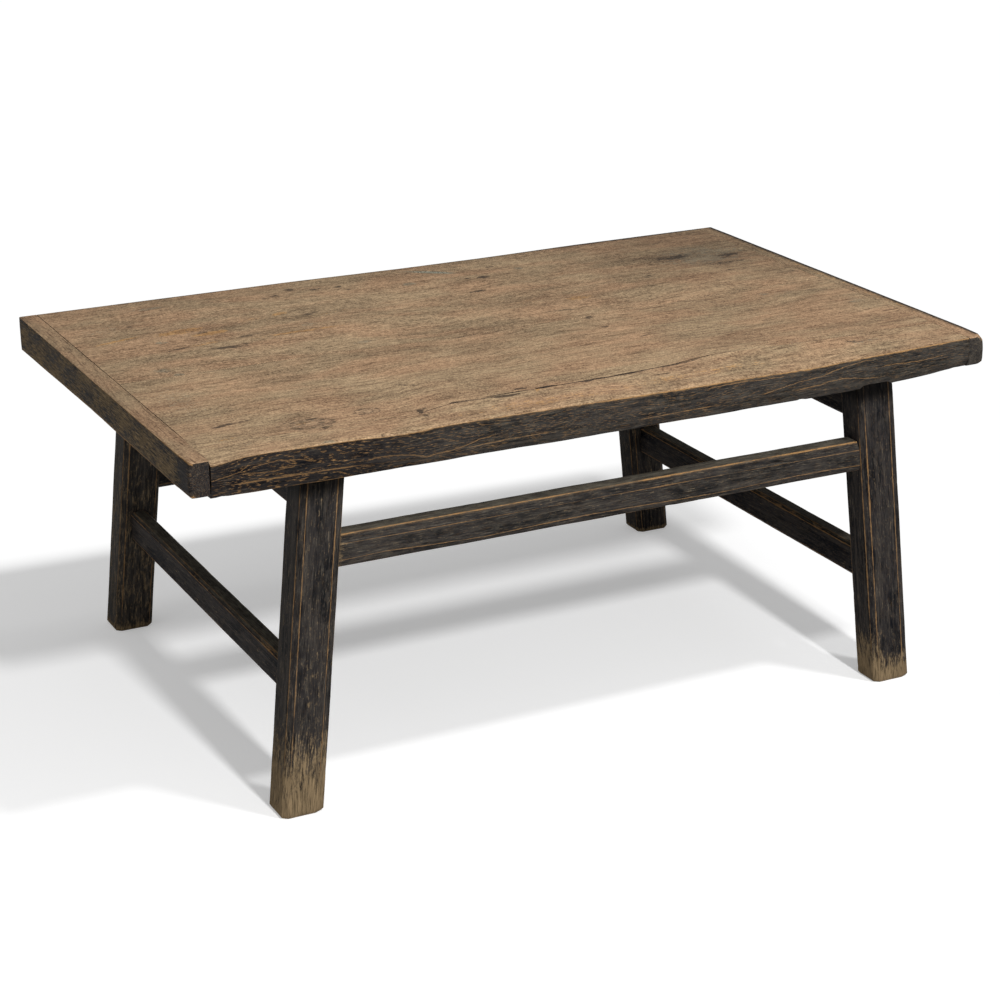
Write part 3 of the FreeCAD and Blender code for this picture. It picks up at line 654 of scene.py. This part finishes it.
# Knots: x, y, half length, half width.
KNOTS = [(-362, -266, 26, 15), (-287, -254, 16, 9)]
FRONT_GOLD, LEFT_GOLD = 0.7, 0.2


def spots(marks, x, y):
    """How strongly soft marks cover each point."""
    total = 0 * x
    for at_x, at_y, length, width, slope, strength in marks:
        across = y - at_y - slope * (x - at_x)
        apart = np.hypot((x - at_x) / length, across / width)
        total = np.maximum(total, strength * (1 - smooth(0.35, 1.5, apart)))
    return total


def top_marks(x, y, z):
    return spots(DARK_FLECKS, x, y), spots(GREY_SMUDGES, x, y), spots(HONEY_STREAKS, x, y)


def top_knots(x, y, z):
    """1.6 at the middle of a knot, 0.6 at its rim and 0 well outside it."""
    apart = [np.hypot((x - at_x) / length, (y - at_y) / width) for at_x, at_y, length, width in KNOTS]
    return np.clip(1.6 - np.min(apart, axis=0), 0, None)


def top_lip(x, y, z):
    """Which arrises are polished to gold, 1, and which are still black, -1."""
    front = FRONT_GOLD - 0.3 * smooth(150, 300, x)
    back = -0.3 - 0.6 * smooth(150, 350, x)
    others = np.where(y < -250, front, np.where(y > 300, back, LEFT_GOLD))
    return np.where((x > 520) & (y > -325), -1.0, others)


def top_shade(x, y, z):
    return spots(SHADES, x, y) - spots(BRIGHTS, x, y)


# Scrubbed old elm, unfinished: dull grey-tan wood, mottled, with brown streaks along the grain.
scrubbed_elm, tree = new_finish("scrubbed bare elm")
felt = {label: add(tree, "ShaderNodeAttribute", attribute_name=label).outputs
        for label in ("grain", "arris", "marks", "knot", "lip", "shade")}
grain = felt["grain"]["Vector"]
marks = add(tree, "ShaderNodeSeparateXYZ", [felt["marks"]["Vector"]]).outputs
squeezed = add(tree, "ShaderNodeVectorMath", [grain, (1, 1, 0.4)], operation="MULTIPLY")
# The grain drifts sideways by up to 30 mm, every 110 mm or so.
DRIFT_SIZE, DRIFT = 110 * MM, (0.06, 0, 0)
drift = add(tree, "ShaderNodeTexNoise", {"Vector": squeezed, "Scale": 1 / DRIFT_SIZE, "Detail": 2.0})
drift = add(tree, "ShaderNodeVectorMath", [drift.outputs["Color"], DRIFT], operation="MULTIPLY")
bent = add(tree, "ShaderNodeVectorMath", [grain, drift], operation="ADD")
# Elm's pores are 0.3 mm wide; the eye joins them into flecks, drawn 2.2 mm wide to show.
noises = along_the_wood(tree, bent, (
    ("pore", 2.2, 0.9, 2.0, 0.6), ("fleck", 4.5, 0.7, 3.0, 0.7), ("fibre", 3.0, 0.12, 4.0, 0.7),
    ("streak", 13.0, 0.10, 4.0, 0.65), ("patch", 55.0, 0.55, 5.0, 0.65), ("hue", 40.0, 0.4, 3.0, 0.5),
    ("dash", 2.6, 0.16, 3.0, 0.7), ("line", 1.7, 0.045, 2.0, 0.6)))
# How light the wood is, from 0 to 1: each noise moves it from the middle by its share.
level = 0.5
for label, share in (("pore", 1.45), ("fleck", 1.2), ("fibre", 0.9), ("streak", 0.75), ("patch", 0.7)):
    level = add(tree, "ShaderNodeMath", [noises[label], share, level], operation="MULTIPLY_ADD")
    level = add(tree, "ShaderNodeMath", [level, -share / 2], operation="ADD")
# Each wood runs by that level from a dark colour to a light one.
dull, warm, pale, gold, lip = (
    add(tree, "ShaderNodeMix", {"Factor": level, "A": linear(dark), "B": linear(light)}, data_type="RGBA")
    for dark, light in (("#594734", "#C9AC87"), ("#604631", "#CEA883"), ("#4B4439", "#A2937A"),
                        ("#7E5631", "#D3A468"), ("#5E4630", "#BC966A")))
share = add(tree, "ShaderNodeMapRange", [noises["hue"], 0.38, 0.64])
tone = add(tree, "ShaderNodeMix", {"Factor": share, "A": dull, "B": warm}, data_type="RGBA")
share = add(tree, "ShaderNodeMapRange", [noises["line"], 0.58, 0.66, 0, 0.7], **SOFT)
tone = add(tree, "ShaderNodeMix", {"Factor": share, "A": tone, "B": linear("#5C4632")}, data_type="RGBA")
# Marks break up into short dashes along the grain, closer together where the mark is stronger.
dash = add(tree, "ShaderNodeMath", [noises["dash"], noises["fleck"]], operation="ADD")
dash = add(tree, "ShaderNodeMapRange", [dash, 0.72, 1.28, -1.0, 0.0])
for mark, most, colour in (
        (marks[1], 0.8, pale), (marks[2], 0.75, gold), (marks[0], 0.9, linear("#43362B"))):
    cover = add(tree, "ShaderNodeMath", [mark, dash], operation="ADD")
    share = add(tree, "ShaderNodeMapRange", [cover, 0.0, 0.35, 0, most], **SOFT)
    # The dashes stand in for the whole mark only where there is one.
    here = add(tree, "ShaderNodeMapRange", [mark, 0.05, 0.3])
    share = add(tree, "ShaderNodeMath", [share, here], operation="MULTIPLY")
    tone = add(tree, "ShaderNodeMix", {"Factor": share, "A": tone, "B": colour}, data_type="RGBA")
# Knots: grey inside, with a dark broken rim and a broken ring within it.
knot = felt["knot"]["Fac"]
inside = add(tree, "ShaderNodeMapRange", [knot, 0.5, 0.9, 0, 0.15])
tone = add(tree, "ShaderNodeMix", {"Factor": inside, "A": tone, "B": pale}, data_type="RGBA")
whole = add(tree, "ShaderNodeMapRange", [knot, 0.2, 0.4])
broken = add(tree, "ShaderNodeMapRange", [noises["dash"], 0.42, 0.58])
whole = add(tree, "ShaderNodeMath", [whole, broken], operation="MULTIPLY")
KNOT_WANDER = 1.2
for middle, half, most in ((0.60, 0.22, 1.0), (1.10, 0.20, 0.9)):
    bent = add(tree, "ShaderNodeMath", [noises["fleck"], KNOT_WANDER, knot], operation="MULTIPLY_ADD")
    apart = add(tree, "ShaderNodeMath", [bent, middle + KNOT_WANDER / 2], operation="SUBTRACT")
    apart = add(tree, "ShaderNodeMath", [apart], operation="ABSOLUTE")
    share = add(tree, "ShaderNodeMapRange", [apart, half, 0.05, 0, most], **SOFT)
    share = add(tree, "ShaderNodeMath", [share, whole], operation="MULTIPLY")
    tone = add(tree, "ShaderNodeMix", {"Factor": share, "A": tone, "B": linear("#3F3429")},
               data_type="RGBA")
# One patch, back of the middle, is so weathered that it is speckled pale and black.
rough_spot = add(tree, "ShaderNodeMapRange", [marks[1], 1.05, 1.3])
speckle = add(tree, "ShaderNodeMapRange", [noises["pore"], 0.42, 0.58])
speckle = add(tree, "ShaderNodeMix", {"Factor": speckle, "A": linear("#3D3B33"), "B": linear("#B3AE98")},
              data_type="RGBA")
tone = add(tree, "ShaderNodeMix", {"Factor": rough_spot, "A": tone, "B": speckle}, data_type="RGBA")
# Hands have polished the front arris to gold; lacquer is left on the back and right ones. Each has
# its sign in the lip attribute, its full width and its reach from the arris in metres, and its colour.
LIP_RAGGED = 0.008
ragged = add(tree, "ShaderNodeMath", [noises["fleck"], LIP_RAGGED, felt["arris"]["Fac"]],
             operation="MULTIPLY_ADD")
for sign, full, reach, colour in ((1.0, 0.004, 0.008, lip), (-1.0, 0.0065, 0.015, linear("#1F1A15"))):
    most = add(tree, "ShaderNodeMath", [felt["lip"]["Fac"], sign * 0.95],
               operation="MULTIPLY", use_clamp=True)
    near = add(tree, "ShaderNodeMapRange", [ragged, reach, full, 0, most], **SOFT)
    tone = add(tree, "ShaderNodeMix", {"Factor": near, "A": tone, "B": colour}, data_type="RGBA")
# The shade attribute darkens or lightens the wood: its own tone, painted shade along the front edge and a
# painted highlight on its arris.
tint = add(tree, "ShaderNodeMath", [felt["shade"]["Fac"], -1.0, 1.0], operation="MULTIPLY_ADD")
tone = add(tree, "ShaderNodeVectorMath", {0: tone, "Scale": tint}, operation="SCALE")
GRAIN_HEIGHT, ELM_SHINE = 0.6 * MM, 0.25
bump = add(tree, "ShaderNodeBump", {"Height": level, "Strength": 0.6, "Distance": GRAIN_HEIGHT})
shader = add(tree, "ShaderNodeBsdfPrincipled", {"Base Color": tone, "Roughness": DULL, "Normal": bump,
                                                "Specular IOR Level": ELM_SHINE})
add(tree, "ShaderNodeOutputMaterial", {"Surface": shader})


def scrubbed_face(piece, finish, steepest):
    """The faces that look up more than the steepest get the bare finish."""
    piece.data.materials.append(finish)
    for face in piece.data.polygons:
        if face.normal.z > steepest:
            face.material_index = 1


# What is on the front edge lies before the first of these y, and what is on or close to it before the
# second. Elsewhere on the top's edges the growth lines are faint.
ON_FRONT, BY_FRONT = -330, -325
TOP_FIGURE = 0.1
# Honey lines on the black front edge, (x, height), in three sets that don't run over each other.
EDGE_LINES = (
    ([(-508, 431), (-490, 434), (-474, 437.5), (-465, 443)],
     [(-318, 427), (-292, 427), (-265, 423), (-250, 418.5), (-232, 420), (-215, 421.5), (-200, 424),
      (-183, 429), (-168, 430)],
     [(205, 426), (253, 434), (287, 436.5), (300, 440), (328, 445), (356, 448)]),
    ([(-455, 441), (-430, 443), (-404, 440), (-390, 436)], [(-190, 421), (-150, 423), (-95, 423)],
     [(250, 423.5), (285, 425.5), (300, 428.5), (318, 429.5), (335, 427.5), (355, 424), (372, 423)]),
    ([(-470, 434), (-440, 431), (-412, 433)], [(130, 445.5), (175, 446), (230, 444)],
     [(382, 437), (440, 436), (470, 438)]))


def edge_scores(x, y, z):
    """How far each point of the front edge is above the nearest honey line of each set, in metres."""
    sets = []
    for lines in EDGE_LINES:
        found = 1000 + 0 * x
        for line in lines:
            beyond = np.maximum(np.maximum(line[0][0] - x, x - line[-1][0]), 0)
            off = z - follow(line, x)
            off = np.where(off < 0, -1, 1) * np.hypot(off, beyond)
            found = np.where(abs(off) < abs(found), off, found)
        sets.append(np.where(y < ON_FRONT, found, 1000) * MM)
    return tuple(sets)


def edge_figure(x, y, z):
    """Growth lines show most at the left of the front edge, round a knot, and least at its right."""
    front = 0.4 + 0.4 * smooth(-500, -470, x) * (1 - smooth(-340, -300, x)) - 0.16 * smooth(100, 250, x)
    return np.where(y < ON_FRONT, front, TOP_FIGURE)


def edge_dust(x, y, z):
    """The front edge is dustier towards its right."""
    return np.where(y < BY_FRONT, 0.16 * smooth(-330, -200, x) + 0.04 * smooth(100, 250, x), 0)


def edge_darkening(x, y, z):
    """Its left is darker, with no dust on it."""
    return np.where(y < BY_FRONT, 0.2 * (1 - smooth(-330, -200, x)), 0)


def edge_keen(x, y, z):
    """The top arris is rubbed most, and the bevel's edge in two stretches."""
    upper = (0.35 + 0.9 * smooth(-250, 0, x)) * smooth(438, 446, z)
    bevel = 0
    for start, full, fading, gone in ((-490, -470, -345, -330), (20, 50, 120, 150)):
        bevel = bevel + smooth(start, full, x) * (1 - smooth(fading, gone, x))
    return np.where(z > 436, upper, 0.8 * bevel - 0.7)


# The boards' sections, each from a top corner: its first side and its last, the top, are cut up finer.
front_corners = [(-HALF_DEPTH, TOP), (-HALF_DEPTH, UNDERSIDE + BEVEL_HEIGHT),
                 (-HALF_DEPTH + BEVEL_DEPTH, UNDERSIDE), (SEAM_FRONT, UNDERSIDE), (SEAM_FRONT, TOP)]
middle_corners = [(SEAM_FRONT, TOP), (SEAM_FRONT, UNDERSIDE), (SEAM_BACK, UNDERSIDE), (SEAM_BACK, TOP)]
back_corners = [(SEAM_BACK, TOP), (SEAM_BACK, UNDERSIDE), (HALF_DEPTH - BEVEL_DEPTH, UNDERSIDE),
                (HALF_DEPTH, UNDERSIDE + BEVEL_HEIGHT), (HALF_DEPTH, TOP)]

for label, corners, opening, seed, worn, joined in (
        ("front_top_board", front_corners, -1.0, 31, 1.0, (3, 4)),
        ("middle_top_board", middle_corners, 1.0, 32, 0.2, (0, 1, 2, 3)),
        ("back_top_board", back_corners, 0.0, 33, 0.2, (0, 1))):

    def lay(u, v, w, opening=opening):
        return lay_board(u, v, w, opening)

    board = timber(label, corners, 2 * HALF_BOARDS, lay, worn_lacquer, seed=seed, spacing=6.0, rings=3.0,
                   wear=worn, reach=3.0, hollows=0.2, tight=joined,
                   fine={0: 3.0, len(corners) - 1: 3.0},
                   shown={"figure": edge_figure, "keen": edge_keen, "dust_and_sheen": edge_dust,
                          "darkening": edge_darkening, "scores": edge_scores, "marks": top_marks,
                          "knot": top_knots, "lip": top_lip, "shade": top_shade})
    scrubbed_face(board, scrubbed_elm, steepest=0.55)
    keep(board, label)


# End cleats. A narrow elm strip is tongued across the boards' ends at each side to keep them flat.
# Its ends show end grain; its outer edge is lacquered and has a small bevel below.
CLEAT_WIDTH = 24.0
CLEAT_BEVEL = {-1: 1.8, 1: 4.0}
# Rounding of each cleat's front and back end in plan, and how strongly its outer face is crowned there.
END_ROUNDING = {-1: (3.0, 1.5), 1: (3.5, 2.0)}
END_CROWN = {-1: (0.3, 0.0), 1: (0.4, 0.1)}
# The crown's depth at its strongest and all along, and how far it reaches down, up and in from an end.
CROWN_DEPTH, EVEN_CROWN, CROWN_DOWN, CROWN_UP, CROWN_IN = 4.5, 0.03, 16, 14, 50
# The right one's front end drops at its upper corner and rises at its lower edge by these.
CORNER_DROP, CORNER_RISE = 5, 3.5
# The left one's lower edge hangs lower towards its back end, by this, from y over so far.
BACK_HANG, HANG_FROM, HANG_OVER = 4.8, 30, 305
MIDDLE, HALF_THICK = (TOP + UNDERSIDE) / 2, (TOP - UNDERSIDE) / 2
# A cleat's ends are rounded upwards and downwards by this share of their rounding in plan. The rings
# stand closer together this near to an end.
UPWARDS, CLOSE_RINGS = 0.4, 18.0
MOTTLE, MOTTLE_SWING = 0.66, 0.25

for end in (-1, 1):
    label = ("left" if end < 0 else "right") + "_end_cleat"
    outer, inner = HALF_BOARDS + CLEAT_WIDTH, HALF_BOARDS
    bevel = CLEAT_BEVEL[end]
    corners = [(end * outer, TOP), (end * outer, UNDERSIDE + bevel), (end * (outer - bevel), UNDERSIDE),
               (end * inner, UNDERSIDE), (end * inner, TOP)]

    def lay(u, v, w, end=end):
        """Lays the cleat across the boards' ends and rounds its own ends, with rings closer there."""
        near = HALF_DEPTH - abs(w - HALF_DEPTH)
        near = np.where(near < CLOSE_RINGS, near ** 2 / CLOSE_RINGS, near)
        behind = w > HALF_DEPTH
        y = np.where(behind, HALF_DEPTH - near, near - HALF_DEPTH)
        radius = np.where(behind, END_ROUNDING[end][1], END_ROUNDING[end][0])
        inset = radius * (1 - np.sqrt(1 - np.clip(1 - near / radius, 0, 1) ** 2))
        crown = (np.clip((v - TOP + CROWN_DOWN) / CROWN_DOWN, 0, 1) ** 2
                 + np.clip((UNDERSIDE + CROWN_UP - v) / CROWN_UP, 0, 1) ** 2)
        strong = np.where(behind, END_CROWN[end][1], END_CROWN[end][0])
        strong = strong * (1 - smooth(0, CROWN_IN, near)) + EVEN_CROWN
        out = (abs(u) - HALF_BOARDS) / CLEAT_WIDTH
        x = u - end * out * (inset + CROWN_DEPTH * crown * strong)
        z = v - (v - MIDDLE) / HALF_THICK * UPWARDS * inset
        if end > 0:
            # The front edge's bevel runs on across this cleat's end, rising to the corner.
            z = z - (CORNER_DROP * smooth(0.45, 1, out) ** 2 * (1 - smooth(0, 14, near))
                     * (v > TOP - CROWN_DOWN) * (~behind))
            low = 1 - smooth(UNDERSIDE, UNDERSIDE + 16, z)
            z = z + CORNER_RISE * low * (1 - smooth(0, 40, near)) * (~behind)
            y = np.maximum(y, -HALF_DEPTH + BEVEL_DEPTH * (1 - (z - UNDERSIDE) / BEVEL_HEIGHT))
        else:
            hang = BACK_HANG * np.clip((y - HANG_FROM) / HANG_OVER, 0, 1)
            z = z - hang * (TOP - z) / (TOP - UNDERSIDE)
        return x, y, z

    def cleat_rub(x, y, z, end=end):
        """The left one's outer face is worn to a brown mottle, in patches."""
        patchy = MOTTLE + MOTTLE_SWING * np.sin(y / 23) * np.sin(z / 9 + y / 31)
        return patchy * smooth(-318, -290, y) if end < 0 else 0.25 * smooth(438, 454, z)

    def cleat_darkening(x, y, z, end=end):
        """The left one is a little darker, but for its front end."""
        return 0.15 * smooth(-334, -320, y) if end < 0 else 0.0

    def cleat_figure(x, y, z, end=end):
        """The left one's front end shows its end grain, the right one's hardly."""
        return np.where(y < ON_FRONT, 0.25 if end < 0 else 0.05, TOP_FIGURE)

    def cleat_dust(x, y, z, end=end):
        """The right one's front end is as dusty as the front edge beside it."""
        return np.where(y < BY_FRONT, 0.2, 0.0) if end > 0 else 0.0

    def cleat_keen(x, y, z, end=end):
        """The left one's lower edge is rubbed all along, and its upper edge in the front half."""
        if end > 0:
            return np.where(z < 425, -0.3, 0.3)
        return np.where(z < 425, 0.9, 0.9 * (1 - smooth(-60, 60, y)) - 0.3)

    def cleat_shade(x, y, z, end=end):
        """The cleats' tops are darker than the boards."""
        return top_shade(x, y, z) + (0.11 if end < 0 else 0.04)

    cleat = timber(label, corners, 2 * HALF_DEPTH, lay, worn_lacquer, seed=40 + end, spacing=3.0,
                   rings=3.0, ease=0.9, wear=0.35, reach=3.0, tight=(3, 4),
                   shown={"marks": top_marks, "lip": top_lip, "shade": cleat_shade,
                          "keen": cleat_keen, "rub": cleat_rub, "darkening": cleat_darkening,
                          "dust_and_sheen": cleat_dust, "figure": cleat_figure})
    scrubbed_face(cleat, scrubbed_elm, steepest=0.6)
    keep(cleat, label)


# The studio. A plain pale floor that keeps the table's shadow and fades to white around it,
# two small lamps in front, one of them high, a weak large one at the left, and an even dim sky.
FLOOR_REACH = 30
WHITE, SKY = 1.02, 0.3
# How much light the floor gives back to the table, and how much it seems to catch in the picture.
FLOOR_GREY, CATCH_GREY = (0.8, 0.8, 0.8, 1), (0.84, 0.84, 0.84, 1)
# A glow lifts the floor's shadow, a little more behind the table. From y, to y, and the two strengths.
GLOW_FROM, GLOW_TO, GLOW, GLOW_BEHIND = 0.33, 0.40, 0.32, 0.35
# The floor fades to white with the distance from a point, and past two lines: where each fading
# starts and ends, in metres, and for a line also the way that it is measured.
FADE_ABOUT, FADE_NEAR, FADE_FAR = (0.2, -0.05, 0), 0.72, 1.3
FADE_LINES = (((0.042, 1, 0), 0.545, 0.635), ((1, -0.08, 0), 0.47, 0.56))

mesh = bpy.data.meshes.new("floor")
corners = [(x * FLOOR_REACH, y * FLOOR_REACH, 0) for x, y in ((-1, -1), (1, -1), (1, 1), (-1, 1))]
mesh.from_pydata(corners, [], [(0, 1, 2, 3)])
floor = bpy.data.objects.new("floor", mesh)
bpy.context.scene.collection.objects.link(floor)
paper, tree = new_finish("pale studio floor")
rays = add(tree, "ShaderNodeLightPath").outputs
seen = rays["Is Camera Ray"]
for other in ("Is Glossy Ray", "Is Transmission Ray"):
    seen = add(tree, "ShaderNodeMath", [seen, rays[other]], operation="MAXIMUM")
plain = add(tree, "ShaderNodeBsdfDiffuse", {"Color": FLOOR_GREY})
catch = add(tree, "ShaderNodeBsdfDiffuse", {"Color": CATCH_GREY})
spot = add(tree, "ShaderNodeTexCoord").outputs["Object"]
deep = add(tree, "ShaderNodeSeparateXYZ", [spot]).outputs["Y"]
step = add(tree, "ShaderNodeMapRange", [deep, GLOW_FROM, GLOW_TO, GLOW, GLOW_BEHIND], **SOFT)
glow = add(tree, "ShaderNodeEmission", {"Strength": step})
shown = add(tree, "ShaderNodeAddShader", [catch, glow])
away = add(tree, "ShaderNodeVectorMath", [spot, FADE_ABOUT], operation="ADD")
away = add(tree, "ShaderNodeVectorMath", [away], operation="LENGTH")
fades = [(away, FADE_NEAR, FADE_FAR)]
for way, start, end in FADE_LINES:
    past = add(tree, "ShaderNodeVectorMath", [spot, way], operation="DOT_PRODUCT")
    fades.append((past, start, end))
fade = 0.0
for past, start, end in fades:
    gone = add(tree, "ShaderNodeMapRange", [past.outputs["Value"], start, end], **SOFT)
    fade = add(tree, "ShaderNodeMath", [fade, gone], operation="MAXIMUM")
white = add(tree, "ShaderNodeEmission", {"Strength": WHITE})
shown = add(tree, "ShaderNodeMixShader", [fade, shown, white])
mixed = add(tree, "ShaderNodeMixShader", [seen, plain, shown])
add(tree, "ShaderNodeOutputMaterial", {"Surface": mixed})
mesh.materials.append(paper)

world = bpy.data.worlds.new("even sky")
bpy.context.scene.world = world
world.use_nodes = True
tree = world.node_tree
tree.nodes.clear()
rays = add(tree, "ShaderNodeLightPath").outputs
sky = add(tree, "ShaderNodeBackground", {"Color": (1, 1, 1, 1), "Strength": SKY})
white = add(tree, "ShaderNodeBackground", {"Color": (1, 1, 1, 1), "Strength": WHITE})
seen = add(tree, "ShaderNodeMath", [rays["Is Camera Ray"], rays["Is Transmission Ray"]],
           operation="MAXIMUM")
mixed = add(tree, "ShaderNodeMixShader", [seen, sky, white])
add(tree, "ShaderNodeOutputWorld", {"Surface": mixed})

# Each lamp's place, the width of its disk, both in metres, and its power in watts.
AIM = Vector((0, 0, 0.3))
for name, place, size, power in (("front lamp", (0.0, -3.78, 2.85), 0.3, 140),
                                 ("high lamp", (1.1, -1.7, 4.0), 0.35, 54),
                                 ("left fill", (-3.5, -0.8, 1.6), 2.0, 9)):
    data = bpy.data.lights.new(name, "AREA")
    data.shape = "DISK"
    data.size = size
    data.energy = power
    lamp = bpy.data.objects.new(name, data)
    bpy.context.scene.collection.objects.link(lamp)
    lamp.location = place
    lamp.rotation_euler = (AIM - Vector(place)).to_track_quat("-Z", "Y").to_euler()

# The camera, where the photograph was taken from, about 3.1 m away and 1.3 m up. Its angles are in
# degrees, and its focal length is in pixels of the photograph.
CAMERA_PLACE = Vector((-1.30357, -2.65106, 1.29446))
AZIMUTH, ELEVATION, ROLL = (math.radians(angle) for angle in (-26.3375, 20.0762, -0.4823))
FOCAL_PIXELS, PICTURE_WIDTH, SENSOR = 2355.6, 1000, 36.0
ahead = Vector((-math.sin(AZIMUTH) * math.cos(ELEVATION), math.cos(AZIMUTH) * math.cos(ELEVATION),
                -math.sin(ELEVATION)))
level = ahead.cross(Vector((0, 0, 1))).normalized()
upright = level.cross(ahead)
right = math.cos(ROLL) * level + math.sin(ROLL) * upright
up = -math.sin(ROLL) * level + math.cos(ROLL) * upright
turn = Matrix((right, up, -ahead)).transposed()
lens = bpy.data.cameras.new("camera")
lens.sensor_width = SENSOR
lens.lens = FOCAL_PIXELS / PICTURE_WIDTH * SENSOR
camera = bpy.data.objects.new("camera", lens)
bpy.context.scene.collection.objects.link(camera)
camera.location = CAMERA_PLACE
camera.rotation_euler = turn.to_euler()
bpy.context.scene.camera = camera
bpy.context.scene.view_settings.view_transform = "Standard"
